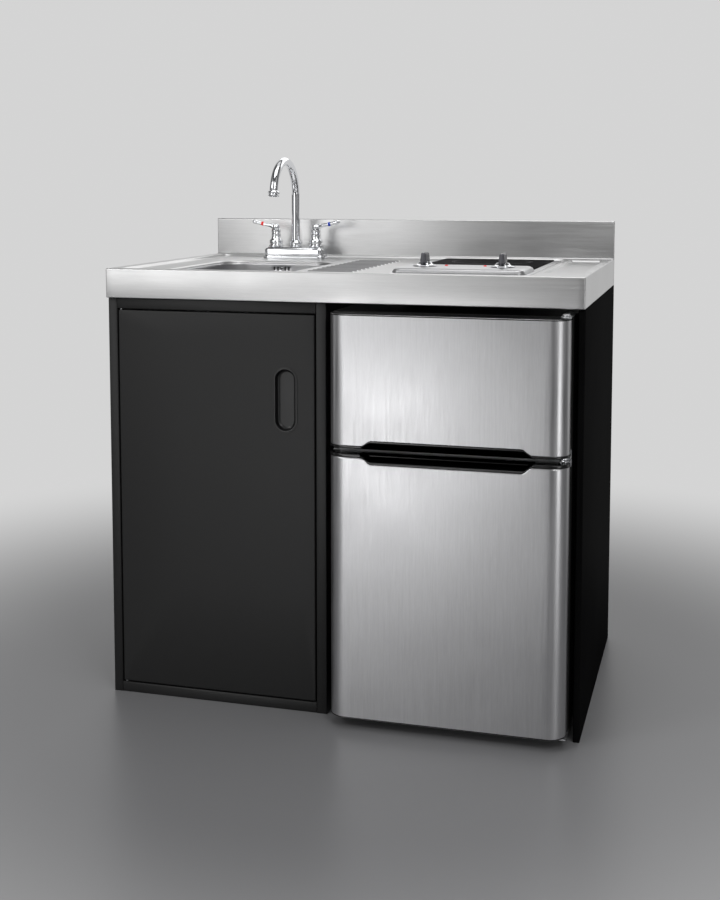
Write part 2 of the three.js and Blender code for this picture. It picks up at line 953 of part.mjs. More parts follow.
// ---------------------------------------------------------------- hob
const frameBottom = deckTop + fitGap;
const frameTop = deckTop + hobFrameTop;
const glassLeft = hobX - glassWidth / 2;
const glassRight = hobX + glassWidth / 2;
const glassBack = hobBack - glassBorder;
const glassLength = glassBack - glassFront;
const elementRadiusFront = zoneShareFront * glassLength;
const elementRadiusRear = zoneShareRear * glassLength;
const elementYFront = glassFront + zoneMiddleFront * glassLength;
const elementYRear = glassBack - zoneMiddleRear * glassLength;
const glassBottom = frameBottom + hobLedge + fitGap;
const panelLeft = hobX - panelWidth / 2;
const panelRight = hobX + panelWidth / 2;
const panelBack = panelFront + panelDepth;
const panelBottom = frameTop + fitGap;
const panelTop = panelBottom + panelRise;
const trayTop = frameBottom - fitGap;
const trayBottom = trayTop - trayDepth;
const trayFloor = trayBottom + traySheet;
const knobXs = [hobX - knobSpread, hobX + knobSpread];
const lampXs = [hobX - lampSpread, hobX + lampSpread];
const shaftFoot = trayFloor + 8;

function hobFrame() {
  const plate = upright(roundedRectangle(hobLeft, hobRight, hobFront, hobBack, 6), frameBottom, frameTop, 3);
  const seat = block(
    glassLeft - fitGap,
    glassRight + fitGap,
    glassFront - fitGap,
    glassBack + fitGap,
    frameBottom + hobLedge,
    frameTop + cutPast,
  );
  const through = block(
    glassLeft + glassSeat,
    glassRight - glassSeat,
    glassFront + glassSeat,
    glassBack - glassSeat,
    frameBottom - cutPast,
    frameTop,
  );
  const underPanel = block(
    panelLeft + panelBevel + 6,
    panelRight - panelBevel - 6,
    panelFront + panelBevel + 6,
    panelBack - panelBevel - 6,
    frameBottom - cutPast,
    frameTop + cutPast,
  );
  return piece("hob_frame", cut(plate, seat, through, underPanel), brushedSteel);
}

function hobGlass() {
  const shape = roundedRectangle(glassLeft, glassRight, glassFront, glassBack, 2);
  return piece("hob_glass", upright(shape, glassBottom, glassBottom + glassThickness, 2), blackGlass);
}

function hobControlPanel() {
  const level = (inset, r, z) => ({
    x0: panelLeft + inset,
    x1: panelRight - inset,
    y0: panelFront + inset,
    y1: panelBack - inset,
    r,
    z,
  });
  const corner = 16;
  const form = (shrink) =>
    lofted([
      level(shrink, corner - shrink, panelBottom - (shrink ? cutPast : 0)),
      level(shrink + panelBevel * 0.35, corner - shrink, panelBottom + panelRise * 0.7 - shrink),
      level(shrink + panelBevel, corner - shrink, panelTop - shrink),
    ]);
  const shaftHoles = knobXs.map((x) =>
    rod(x, knobY, shaftRadius + runGap, panelTop - 5, panelTop + cutPast, 12),
  );
  const lampHoles = lampXs.map((x) =>
    rod(x, lampY, lampRadius + fitGap, panelTop - 5, panelTop + cutPast, 12),
  );
  return piece(
    "hob_control_panel",
    cut(form(0), form(panelSheet), ...shaftHoles, ...lampHoles),
    brushedSteel,
  );
}

function hobTray() {
  const t = traySheet;
  const walls = cut(
    block(trayLeft, trayRight, trayFront, trayBack, trayBottom, trayTop),
    block(trayLeft + t, trayRight - t, trayFront + t, trayBack - t, trayFloor, trayTop + cutPast),
  );
  return piece("hob_tray", walls, zincSteel);
}

function hobElement(name, y, radius) {
  const top = glassBottom - fitGap;
  const bottom = top - elementHeight;
  const dish = turned(
    hobX,
    y,
    [
      [0, bottom],
      [radius - 3, bottom],
      [radius, bottom + 3],
      [radius, top],
      [radius - 8, top],
      [radius - 8, top - 12],
      [0, top - 12],
    ],
    24,
  );
  const post = rod(hobX, y, elementPost, trayFloor + fitGap, bottom + 1, 8);
  return piece(name, joined(dish, post), darkSteel);
}

function hobControlChassis() {
  const deck = panelBottom - 4;
  const regulatorTop = deck - chassisSheet;
  const plateLeft = knobXs[0] - regulatorWidth / 2;
  const plateRight = knobXs[1] + regulatorWidth / 2;
  const y0 = knobY - regulatorDepth / 2;
  const y1 = lampY + lampRadius + 3;
  const plate = block(plateLeft, plateRight, y0, y1, regulatorTop, deck);
  const regulators = knobXs.map((x) =>
    block(
      x - regulatorWidth / 2,
      x + regulatorWidth / 2,
      y0,
      knobY + regulatorDepth / 2,
      regulatorTop - regulatorHeight,
      regulatorTop,
    ),
  );
  const legs = knobXs.map((x) => block(x - 3, x + 3, y0, y0 + 8, trayFloor + fitGap, regulatorTop));
  const lamps = lampXs.map((x) => rod(x, lampY, lampRadius, deck - 1, panelTop + lampProud, 12));
  const bores = knobXs.map((x) =>
    rod(x, knobY, shaftRadius + runGap, shaftFoot, deck + cutPast, 12),
  );
  const body = joined(plate, ...regulators, ...legs, ...lamps);
  return piece("hob_control_chassis", cut(body, ...bores), zincSteel);
}

function hobShaft(name, x) {
  const top = panelTop + knobHeight - knobWall - fitGap;
  return piece(name, rod(x, knobY, shaftRadius, shaftFoot + fitGap, top, 12), zincSteel);
}

function hobKnob(name, x) {
  const z = panelTop + fitGap;
  const top = panelTop + knobHeight;
  const skirt = turned(
    x,
    knobY,
    [
      [0, z],
      [knobSkirt, z],
      [knobSkirt, z + 1.5],
      [knobSkirt - 4, z + knobSkirtHeight - 1],
      [knobSkirt - 10, z + knobSkirtHeight],
      [knobSkirt - 12, z + knobSkirtHeight + 4],
      [0, z + knobSkirtHeight + 4],
    ],
    24,
  );
  const level = (inset, height) => ({
    x0: x - knobGripWidth / 2 + inset,
    x1: x + knobGripWidth / 2 - inset,
    y0: knobY - knobGripLength / 2 + inset,
    y1: knobY + knobGripLength / 2 - inset,
    r: 4 - inset,
    z: height,
  });
  const grip = lofted([level(0, z + 1), level(0.5, top - 2), level(2, top)], 2);
  const bore = rod(x, knobY, shaftRadius + fitGap, z - cutPast, top - knobWall, 12);
  return piece(name, cut(joined(skirt, grip), bore), darkSteel);
}

function hobTerminalBox() {
  const y1 = trayBack - 6;
  const y0 = y1 - terminalDepth;
  const z1 = trayBottom - fitGap;
  const z0 = z1 - terminalHeight;
  const x0 = hobX - terminalWidth / 2;
  const box = block(x0, x0 + terminalWidth, y0, y1, z0, z1);
  const gland = backward(circle(hobX, (z0 + z1) / 2, glandRadius), y1 - 1, y1 + glandLength, 5);
  return piece("hob_terminal_box", joined(box, gland), blackPlastic);
}

// ---------------------------------------------------------------- cabinet
const sheet = cabinetSheet;
const frontInner = cabinetFront + sheet;
const returnBack = cabinetFront + stileReturn;
const stileMiddleLeft = cupboardWidth - stileMiddle;
const doorwayTop = cabinetTop - railTop;

function cabinetLeftSide() {
  const shape = outline([
    [0, cabinetFront],
    [stileLeft, cabinetFront],
    [stileLeft, returnBack],
    [stileLeft - sheet, returnBack],
    [stileLeft - sheet, frontInner],
    [sheet, frontInner],
    [sheet, cabinetBack - sheet],
    [sideFlange, cabinetBack - sheet],
    [sideFlange, cabinetBack],
    [0, cabinetBack],
  ]);
  return piece("cabinet_left_side", upright(shape, 0, cabinetTop), blackSteel);
}

function cabinetDivider() {
  const shape = outline([
    [stileMiddleLeft, cabinetFront],
    [cupboardWidth, cabinetFront],
    [cupboardWidth, cabinetBack],
    [cupboardWidth - sideFlange, cabinetBack],
    [cupboardWidth - sideFlange, cabinetBack - sheet],
    [cupboardWidth - sheet, cabinetBack - sheet],
    [cupboardWidth - sheet, frontInner],
    [stileMiddleLeft + sheet, frontInner],
    [stileMiddleLeft + sheet, returnBack],
    [stileMiddleLeft, returnBack],
  ]);
  return piece("cabinet_divider", upright(shape, 0, cabinetTop), blackSteel);
}

/** A front rail between the stiles: a channel open to the back, from z0 to z1. */
function frontRail(name, z0, z1, pivotZ) {
  const back = cabinetFront + railReturn;
  const shape = outline([
    [cabinetFront, z0],
    [back, z0],
    [back, z0 + sheet],
    [frontInner, z0 + sheet],
    [frontInner, z1 - sheet],
    [back, z1 - sheet],
    [back, z1],
    [cabinetFront, z1],
  ]);
  const channel = along(shape, stileLeft + fitGap, stileMiddleLeft - fitGap);
  const hole = rod(doorAxisX, doorAxisY, pivotRadius + fitGap, pivotZ - 2 * sheet, pivotZ + 2 * sheet, 12);
  return piece(name, cut(channel, hole), blackSteel);
}

function cabinetFloor() {
  const x0 = sheet + fitGap;
  const x1 = cupboardWidth - sheet - fitGap;
  const y0 = returnBack + fitGap;
  const y1 = cabinetBack - 2 * sheet - 2 * fitGap;
  const pan = cut(
    block(x0, x1, y0, y1, 0, railBottom),
    block(x0 + sheet, x1 - sheet, y0 + sheet, y1 - sheet, -cutPast, railBottom - sheet),
  );
  return piece("cabinet_floor", pan, blackSteel);
}

function cabinetBackPanel() {
  const y1 = cabinetBack - sheet - fitGap;
  const holeZ = pipeHoleZ;
  const panel = block(sheet + fitGap, cupboardWidth - sheet - fitGap, y1 - sheet, y1, 0, cabinetTop);
  const hole = block(
    wasteX - pipeHoleWidth / 2,
    wasteX + pipeHoleWidth / 2,
    y1 - 2 * sheet,
    y1 + cutPast,
    holeZ - pipeHoleHeight / 2,
    holeZ + pipeHoleHeight / 2,
  );
  return piece("cabinet_back", cut(panel, hole), blackSteel);
}

function cabinetRightSide() {
  const right = worktopWidth;
  const left = right - stileRight;
  const shape = outline([
    [left, cabinetFront],
    [right, cabinetFront],
    [right, cabinetBack],
    [right - sideFlange, cabinetBack],
    [right - sideFlange, cabinetBack - sheet],
    [right - sheet, cabinetBack - sheet],
    [right - sheet, frontInner],
    [left + sheet, frontInner],
    [left + sheet, cabinetFront + rightReturn],
    [left, cabinetFront + rightReturn],
  ]);
  return piece("cabinet_right_side", upright(shape, 0, cabinetTop), blackSteel);
}

function cabinetRearRail() {
  const y1 = cabinetBack - sheet - fitGap;
  const shape = outline([
    [y1, cabinetTop - rearRailHeight],
    [y1, cabinetTop],
    [y1 - sideFlange, cabinetTop],
    [y1 - sideFlange, cabinetTop - sheet],
    [y1 - sheet, cabinetTop - sheet],
    [y1 - sheet, cabinetTop - rearRailHeight],
  ]);
  return piece(
    "cabinet_rear_rail",
    along(shape, bayLeft + fitGap, worktopWidth - sheet - fitGap),
    blackSteel,
  );
}

// ---------------------------------------------------------------- cupboard door
const doorLeft = stileLeft + doorGap;
const doorRight = stileMiddleLeft - doorGap;
const doorBottom = railBottom + doorGap;
const doorTop = doorwayTop - doorGap;
const doorFront = cabinetFront;
const doorBack = cabinetFront + doorThickness;
const pullX = doorRight - pullInset;
const pullZ = doorTop - pullDrop;
const doorAxisX = doorLeft + doorAxisInset;
const doorAxisY = doorFront + doorAxisDepth;
const pipeHoleZ = wasteBottom - trapDip + trapOutletRise + trapOutletStep;

/** A rectangle in x and y whose two front corners are round. */
function frontRounded(x0, x1, y0, y1, r) {
  const shape = new THREE.Shape();
  shape.moveTo(x1, y1);
  shape.lineTo(x0, y1);
  shape.absarc(x0 + r, y0 + r, r, Math.PI, 1.5 * Math.PI, false);
  shape.absarc(x1 - r, y0 + r, r, -Math.PI / 2, 0, false);
  shape.closePath();
  return shape;
}

/** An upright oblong with round ends, in x and z. */
function oblong(x, z, width, height) {
  return roundedRectangle(x - width / 2, x + width / 2, z - height / 2, z + height / 2, width / 2 - 0.01);
}

function doorSkin() {
  const s = doorSheet;
  const outer = upright(
    frontRounded(doorLeft, doorRight, doorFront, doorBack, doorEdgeRadius),
    doorBottom,
    doorTop,
    3,
  );
  const inner = upright(
    frontRounded(doorLeft + s, doorRight - s, doorFront + s, doorBack + cutPast, doorEdgeRadius - s),
    doorBottom + s,
    doorTop - s,
    3,
  );
  const pull = backward(
    oblong(pullX, pullZ, pullWidth + 2 * fitGap, pullHeight + 2 * fitGap),
    doorFront - cutPast,
    doorFront + 2 * s,
    5,
  );
  const pinHoles = rod(
    doorAxisX,
    doorAxisY,
    pivotRadius + runGap,
    doorBottom - cutPast,
    doorTop + cutPast,
    12,
  );
  return piece("door_skin", cut(outer, inner, pull, pinHoles), blackSteel);
}

function doorInnerPanel() {
  const gap = doorSheet + fitGap;
  const panel = block(
    doorLeft + gap,
    doorRight - gap,
    doorBack - doorSheet,
    doorBack,
    doorBottom + gap,
    doorTop - gap,
  );
  return piece("door_inner_panel", panel, blackSteel);
}

function doorPullCup() {
  const ringWidth = pullWidth + 2 * pullRing;
  const ringHeight = pullHeight + 2 * pullRing;
  const face = doorFront - fitGap;
  const ring = backward(oblong(pullX, pullZ, ringWidth, ringHeight), face - pullProud, face, 6);
  const cup = backward(
    oblong(pullX, pullZ, pullWidth, pullHeight),
    face - pullProud,
    doorFront + pullDepth,
    6,
  );
  const hollow = backward(
    oblong(pullX, pullZ, pullWidth - 2 * pullWall, pullHeight - 2 * pullWall),
    face - pullProud - cutPast,
    doorFront + pullDepth - pullWall,
    6,
  );
  return piece("door_pull_cup", cut(joined(ring, cup), hollow), blackPlastic);
}

function doorPivot(name, flangeZ, side) {
  // The head lies on the rail's far side and the pin reaches into the door: side is +1 up, -1 down.
  const headFrom = flangeZ - side * fitGap;
  const headTo = headFrom - side * pivotHeadHeight;
  const tip = flangeZ + side * (sheet + doorGap + pivotReach);
  const [h0, h1] = [Math.min(headFrom, headTo), Math.max(headFrom, headTo)];
  const [p0, p1] = [Math.min(headTo, tip), Math.max(headTo, tip)];
  const head = rod(doorAxisX, doorAxisY, pivotHead, h0, h1, 12);
  return piece(name, joined(head, rod(doorAxisX, doorAxisY, pivotRadius, p0, p1, 12)), zincSteel);
}

function doorCatch() {
  const x1 = stileMiddleLeft - fitGap;
  const y0 = doorBack + fitGap;
  const body = block(x1 - catchWidth, x1, y0, y0 + catchDepth, catchZ, catchZ + catchHeight);
  return piece("door_catch", body, blackPlastic);
}

// ---------------------------------------------------------------- refrigerator
const fridgeBack = cabinetBack - fridgeGapBack;
const cavityLeft = fridgeLeft + casingWall;
const cavityRight = fridgeRight - casingWall;
const cavityBack = fridgeBack - casingBack;
const stepBack = cavityBack - stepDepth;
const leafFront = cabinetFront - doorProud;
const leafBack = leafFront + leafThickness;
const hingeX = fridgeRight - hingeInset;
const hingeY = leafFront + hingeDepth;
const freezerDoorTop = fridgeTop - freezerDoorDrop;
const pocketLeft = fridgeLeft + pocketInsetLeft;
const pocketRight = fridgeRight - pocketInsetRight;
const chillerDoorMiddle = (chillerDoorTop + freezerDoorBottom) / 2;

/** The two compartments, shrunk by `inset`, open at the front as far as y = `front`. */
function compartments(inset, front) {
  const x0 = cavityLeft + inset;
  const x1 = cavityRight - inset;
  return joined(
    block(x0, x1, front, cavityBack - inset, freezerBottom + inset, freezerTop - inset),
    block(x0, x1, front, cavityBack - inset, stepTop + inset, chillerTop - inset),
    block(x0, x1, front, stepBack - inset, chillerBottom + inset, chillerTop - inset),
  );
}

/** The casing's outer form with the machine space cut from its lower back, shrunk by `inset`. */
function casingForm(inset) {
  return cut(
    block(
      fridgeLeft + inset,
      fridgeRight - inset,
      fridgeFront + inset,
      fridgeBack - inset,
      fridgeBottom + inset,
      fridgeTop - inset,
    ),
    block(
      cavityLeft - inset,
      cavityRight + inset,
      stepBack + casingWall - inset,
      fridgeBack + cutPast,
      fridgeBottom + casingSheet - inset,
      compressorRoof + inset,
    ),
  );
}

function fridgeCasing() {
  const mouths = compartments(0, fridgeFront - cutPast).intersect(
    block(
      cavityLeft,
      cavityRight,
      fridgeFront - cutPast,
      fridgeFront + 2 * casingSheet,
      fridgeBottom,
      fridgeTop,
    ),
  );
  const feet = [fridgeLeft + rearFootInset, fridgeRight - rearFootInset - rearFootSize].map((x) =>
    block(
      x,
      x + rearFootSize,
      fridgeBack - rearFootInset - rearFootSize,
      fridgeBack - rearFootInset,
      0,
      fridgeBottom + casingSheet,
    ),
  );
  const shell = cut(casingForm(0), casingForm(casingSheet), mouths);
  return piece("fridge_casing", joined(shell, ...feet), blackSteel);
}

function fridgeLiner() {
  const front = fridgeFront - fitGap - liningSheet;
  const flange = block(
    fridgeLeft + liningFlange,
    hingeX - hingePlateWidth / 2 - 3,
    front,
    front + liningSheet,
    fridgeBottom + liningFlange,
    fridgeTop - liningFlange,
  );
  const shell = joined(flange, compartments(fitGap, front));
  const ledges = [];
  for (const z of [shelfZUpper, shelfZLower]) {
    const under = z - fitGap;
    const inner = fitGap + liningSheet;
    const y1 = cavityBack - inner + 1;
    ledges.push(block(cavityLeft + 1, cavityLeft + inner + shelfLedge, shelfFront, y1, under - 5, under));
    ledges.push(block(cavityRight - inner - shelfLedge, cavityRight - 1, shelfFront, y1, under - 5, under));
  }
  const dialHousing = block(
    cavityRight - dialBox,
    cavityRight - 1,
    dialY - dialBoxLength / 2,
    dialY + dialBoxLength / 2,
    dialZ - dialBoxHeight / 2,
    dialZ + dialBoxHeight / 2,
  );
  const dialBore = along(
    circle(dialY, dialZ, dialAxle + runGap),
    cavityRight - dialBox - 1,
    cavityRight - 6,
    8,
  );
  const hollow = compartments(fitGap + liningSheet, front - cutPast);
  const body = joined(cut(shell, hollow), ...ledges, dialHousing);
  return piece("fridge_liner", cut(body, dialBore), whitePlastic);
}

function fridgeShelf(name, z) {
  const gap = 2 * fitGap + liningSheet;
  const x0 = cavityLeft + gap;
  const x1 = cavityRight - gap;
  const plate = block(x0, x1, shelfFront, cavityBack - gap - 1, z, z + shelfThickness);
  return piece(name, plate, clearGlass);
}

function thermostatDial() {
  const x1 = cavityRight - dialBox - fitGap;
  const disc = along(circle(dialY, dialZ, dialRadius), x1 - dialWidth, x1, 8);
  const axle = along(circle(dialY, dialZ, dialAxle), x1 - 1, cavityRight - 8, 8);
  const grip = block(
    x1 - dialWidth - 5,
    x1 - dialWidth + 1,
    dialY - 2.5,
    dialY + 2.5,
    dialZ - dialRadius + 2,
    dialZ + dialRadius - 2,
  );
  return piece("thermostat_dial", joined(disc, axle, grip), whitePlastic);
}

function fridgeFoot(name, x) {
  const y = fridgeFront + footInset;
  const top = fridgeBottom - fitGap;
  const pad = rod(x, y, footRadius, 0, footPad, 12);
  return piece(name, joined(pad, rod(x, y, footStem, footPad - 1, top, 8)), blackPlastic);
}

function fridgeCompressor() {
  const x = (fridgeLeft + fridgeRight) / 2;
  const y = (stepBack + casingWall + fridgeBack) / 2;
  const z = fridgeBottom + casingSheet + fitGap;
  const r = compressorRadius;
  const h = compressorHeight;
  const profile = [
    [0, z],
    [r * 0.75, z],
    [r * 0.75, z + 10],
    [r * 0.95, z + 16],
    [r, z + h * 0.35],
    [r, z + h * 0.6],
    [r * 0.85, z + h * 0.85],
    [r * 0.5, z + h],
    [0, z + h],
  ];
  return piece("fridge_compressor", turned(x, y, profile, 20), darkSteel);
}

// ---------------------------------------------------------------- refrigerator doors
/**
 * The finger pocket's moulding in x and z, from z = `near` to z = `far`. Its ends slope from the seam with
 * the steel to the moulding's `reach`, and lie `grow` further out.
 */
function pocketOutline(grow, seam, reach, near, far) {
  const lean = (z) => (pocketSlope * (z - seam)) / (reach - seam) - grow;
  return outline([
    [pocketLeft + lean(near), near],
    [pocketRight - lean(near), near],
    [pocketRight - lean(far), far],
    [pocketLeft + lean(far), far],
  ]);
}

/** A hole for the hinge pin through a door's piece between z0 and z1. */
function pinHole(z0, z1) {
  return rod(hingeX, hingeY, hingePin + runGap, z0 - cutPast, z1 + cutPast, 12);
}

/** A door's steel pan, from its closed far end to the open seam, cut out for the moulding. */
function doorLeaf(name, farEnd, seam, reach) {
  const toward = Math.sign(reach - seam);
  const near = seam + toward * fitGap;
  const [z0, z1] = [Math.min(near, farEnd), Math.max(near, farEnd)];
  const back = leafBack - leafBackplate;
  const body = upright(frontRounded(fridgeLeft, fridgeRight, leafFront, back, leafCorner), z0, z1, 4);
  const s = leafSheet;
  const inside = frontRounded(
    fridgeLeft + s,
    fridgeRight - s,
    leafFront + s,
    back + cutPast,
    leafCorner - s,
  );
  const from = farEnd - toward * leafEnd;
  const to = near - toward * cutPast;
  const hollow = upright(inside, Math.min(from, to), Math.max(from, to), 4);
  const pocket = backward(
    pocketOutline(2 * fitGap, seam, reach, seam - toward * cutPast, reach + toward * fitGap),
    leafFront - cutPast,
    leafFront + pocketDepth + pocketWall + fitGap,
  );
  return piece(name, cut(body, hollow, pocket, pinHole(z0, z1)), brushedSteel);
}

/** A door's black moulding on the side of the gap, with the finger pocket let into it. */
function doorTrim(name, edge, seam, reach) {
  const toward = Math.sign(reach - seam);
  const back = leafBack - leafBackplate;
  const [z0, z1] = [Math.min(edge, seam), Math.max(edge, seam)];
  const strip = upright(frontRounded(fridgeLeft, fridgeRight, leafFront, back, leafCorner), z0, z1, 4);
  const boss = backward(
    pocketOutline(0, seam, reach, seam - toward * 1, reach),
    leafFront,
    leafFront + pocketDepth + pocketWall,
  );
  const hollow = backward(
    pocketOutline(-pocketSide, seam, reach, edge - toward * cutPast, reach - toward * pocketLip),
    leafFront - cutPast,
    leafFront + pocketDepth,
  );
  return piece(name, cut(joined(strip, boss), hollow, pinHole(z0, z1)), blackPlastic);
}

/** A door's inner plate, from z0 to z1, with the dyke that reaches into its compartment. */
function doorLiner(name, z0, z1, compartmentBottom, compartmentTop) {
  const d0 = compartmentBottom + dykeClear;
  const d1 = compartmentTop - dykeClear;
  const y0 = leafBack - leafBackplate + fitGap;
  const plate = block(fridgeLeft + 3, fridgeRight - 3, y0, leafBack, z0, z1);
  const x0 = fridgeLeft + dykeInset;
  const x1 = fridgeRight - dykeInset;
  const dyke = cut(
    block(x0, x1, leafBack - 1, leafBack + dykeDepth, d0, d1),
    block(
      x0 + dykeWall,
      x1 - dykeWall,
      leafBack - 2,
      leafBack + dykeDepth + cutPast,
      d0 + dykeWall,
      d1 - dykeWall,
    ),
  );
  return piece(name, cut(joined(plate, dyke), pinHole(z0, z1)), whitePlastic);
}

/** The magnetic gasket ring between a door, from doorBottom to doorTop, and the casing's front. */
function doorGasket(name, doorBottomZ, doorTopZ) {
  const z0 = doorBottomZ + gasketInsetEnd;
  const z1 = doorTopZ - gasketInsetEnd;
  const y0 = leafBack + fitGap;
  const y1 = fridgeFront - 2 * fitGap - liningSheet;
  const x0 = fridgeLeft + gasketInset;
  const x1 = fridgeRight - gasketInsetHinge;
  const w = gasketWidth;
  const ring = cut(
    block(x0, x1, y0, y1, z0, z1),
    block(x0 + w, x1 - w, y0 - cutPast, y1 + cutPast, z0 + w, z1 - w),
  );
  return piece(name, ring, greyRubber);
}

/** A hinge plate with round end, from the hinge axis back to `back`. */
function hingePlateSolid(z0, z1, back) {
  const half = hingePlateWidth / 2;
  const shape = new THREE.Shape();
  shape.moveTo(hingeX + hingeInset, back);
  shape.lineTo(hingeX - half, back);
  shape.absarc(hingeX, hingeY, half, Math.PI, 2 * Math.PI, false);
  shape.lineTo(hingeX + hingeInset, hingeY);
  shape.closePath();
  return upright(shape, z0, z1, 5).intersect(
    block(hingeX - half, hingeX + hingeInset, hingeY - half, back, z0, z1),
  );
}

function fridgeHingeTop() {
  const z0 = fridgeTop + fitGap;
  const z1 = z0 + hingePlate;
  const pin = rod(hingeX, hingeY, hingePin, freezerDoorTop - hingePinReach, z1, 12);
  const cap = rod(hingeX, hingeY, hingeCap, z1 - 1, z1 + hingeCapHeight, 12);
  return piece(
    "fridge_hinge_top",
    joined(hingePlateSolid(z0, z1, fridgeFront + hingeReach), pin, cap),
    zincSteel,
  );
}

function fridgeHingeMiddle() {
  const z0 = chillerDoorMiddle - hingePlate / 2;
  const z1 = z0 + hingePlate;
  const back = fridgeFront - fitGap;
  const half = hingePlateWidth / 2;
  const flange = block(
    hingeX - half,
    hingeX + hingeInset,
    back - hingePlate,
    back,
    chillerDoorMiddle - hingeFlangeHeight / 2,
    chillerDoorMiddle + hingeFlangeHeight / 2,
  );
  const pin = rod(
    hingeX,
    hingeY,
    hingePin,
    chillerDoorTop - hingePinReach,
    freezerDoorBottom + hingePinReach,
    12,
  );
  return piece("fridge_hinge_middle", joined(hingePlateSolid(z0, z1, back), flange, pin), zincSteel);
}

function fridgeHingeBottom() {
  const z1 = fridgeBottom - fitGap;
  const z0 = z1 - hingePlate;
  const pin = rod(hingeX, hingeY, hingePin, z0, chillerDoorBottom + hingePinReach, 12);
  const plate = hingePlateSolid(z0, z1, fridgeFront + hingeReach);
  return piece("fridge_hinge_bottom", joined(plate, pin), zincSteel);
}

// ---------------------------------------------------------------- the whole unit
/** A group of one sub-assembly's meshes. */
function assembly(...meshes) {
  const group = new THREE.Group();
  group.add(...meshes);
  return group;
}

const worktopAssembly = assembly(worktop());
const sinkAssembly = assembly(sinkBowl(), sinkWaste(), sinkTrap(), overflowHousing(), overflowHose());
const tapAssembly = assembly(
  tapBase(),
  tapClamp(),
  tapBonnet("tap_bonnet_left", tapShanks[0]),
  tapBonnet("tap_bonnet_right", tapShanks[1]),
  tapLever("tap_lever_left", tapShanks[0], -1),
  tapLever("tap_lever_right", tapShanks[1], 1),
  tapSpoutNut(),
  tapSpout(),
  tapAerator(),
);
const hobAssembly = assembly(
  hobFrame(),
  hobGlass(),
  hobControlPanel(),
  hobTray(),
  hobElement("hob_element_front", elementYFront, elementRadiusFront),
  hobElement("hob_element_rear", elementYRear, elementRadiusRear),
  hobControlChassis(),
  hobShaft("hob_shaft_left", knobXs[0]),
  hobShaft("hob_shaft_right", knobXs[1]),
  hobKnob("hob_knob_left", knobXs[0]),
  hobKnob("hob_knob_right", knobXs[1]),
  hobTerminalBox(),
);
const cabinetAssembly = assembly(
  cabinetLeftSide(),
  cabinetDivider(),
  frontRail("cabinet_top_rail", doorwayTop, cabinetTop, doorwayTop),
  frontRail("cabinet_bottom_rail", 0, railBottom, railBottom),
  cabinetFloor(),
  cabinetBackPanel(),
  cabinetRightSide(),
  cabinetRearRail(),
);
const doorAssembly = assembly(
  doorSkin(),
  doorInnerPanel(),
  doorPullCup(),
  doorPivot("door_top_pivot", doorwayTop + sheet, -1),
  doorPivot("door_bottom_pivot", railBottom - sheet, 1),
  doorCatch(),
);
const fridgeAssembly = assembly(
  fridgeCasing(),
  fridgeLiner(),
  fridgeShelf("fridge_shelf_upper", shelfZUpper),
  fridgeShelf("fridge_shelf_lower", shelfZLower),
  thermostatDial(),
  fridgeFoot("fridge_foot_left", fridgeLeft + footInset),
  fridgeFoot("fridge_foot_right", fridgeRight - footInset),
  fridgeCompressor(),
);
const fridgeDoorAssembly = assembly(
  doorLeaf("freezer_door_panel", freezerDoorTop, freezerSkinBottom, pocketTop),
  doorTrim("freezer_door_trim", freezerDoorBottom, freezerSkinBottom, pocketTop),
  doorLiner("freezer_door_liner", freezerDoorBottom, freezerDoorTop, freezerBottom, freezerTop),
  doorGasket("freezer_door_gasket", freezerDoorBottom, freezerDoorTop),
  doorLeaf("fridge_door_panel", chillerDoorBottom, chillerSkinTop, pocketBottom),
  doorTrim("fridge_door_trim", chillerDoorTop, chillerSkinTop, pocketBottom),
  doorLiner("fridge_door_liner", chillerDoorBottom, chillerDoorTop, chillerBottom, chillerTop),
  doorGasket("fridge_door_gasket", chillerDoorBottom, chillerDoorTop),
  fridgeHingeTop(),
  fridgeHingeMiddle(),
  fridgeHingeBottom(),
);

// The origin is on the floor, under the middle of the unit's outer box.
const kitchenette = new THREE.Group();
kitchenette.position.set(-worktopWidth / 2, -(leafFront + worktopDepth) / 2, 0);
kitchenette.add(
  worktopAssembly,
  sinkAssembly,
  tapAssembly,
  hobAssembly,
  cabinetAssembly,
  doorAssembly,
  fridgeAssembly,
  fridgeDoorAssembly,
);

const unit = new THREE.Group();
unit.add(kitchenette);
export default unit;
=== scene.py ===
"""Looks of a kitchenette unit: a stainless worktop with a sink, a mixer tap and a two-zone hob, on a black
cabinet with a cupboard and a two-door refrigerator.

Sizes are millimetres in the maker's own frame: x runs from the worktop's left end, y back from the front of
its apron, z up from the floor. `Surface` turns them into the shared frame, in metres. Profiles are rows of
(radius, height) for turned pieces, and of (in from the outline, place along the axis) for lofted ones.
"""

import sys

import logging
from abc import ABC, abstractmethod
from collections.abc import Callable
from dataclasses import dataclass, field
from enum import Enum

import bmesh
import bpy
import numpy as np
from mathutils import Matrix, Vector


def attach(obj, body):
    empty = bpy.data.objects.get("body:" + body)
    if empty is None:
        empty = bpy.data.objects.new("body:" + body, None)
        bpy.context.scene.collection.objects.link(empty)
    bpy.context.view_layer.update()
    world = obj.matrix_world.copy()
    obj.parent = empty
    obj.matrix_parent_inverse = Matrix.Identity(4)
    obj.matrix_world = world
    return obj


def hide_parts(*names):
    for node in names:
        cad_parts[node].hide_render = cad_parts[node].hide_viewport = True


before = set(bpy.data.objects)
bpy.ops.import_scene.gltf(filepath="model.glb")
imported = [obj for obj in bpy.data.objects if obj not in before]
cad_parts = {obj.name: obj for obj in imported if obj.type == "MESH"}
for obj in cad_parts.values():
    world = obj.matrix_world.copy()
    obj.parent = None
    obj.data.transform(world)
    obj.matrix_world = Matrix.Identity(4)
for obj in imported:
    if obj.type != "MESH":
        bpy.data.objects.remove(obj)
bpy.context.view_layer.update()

Array = np.ndarray
Pair = tuple[float, float]
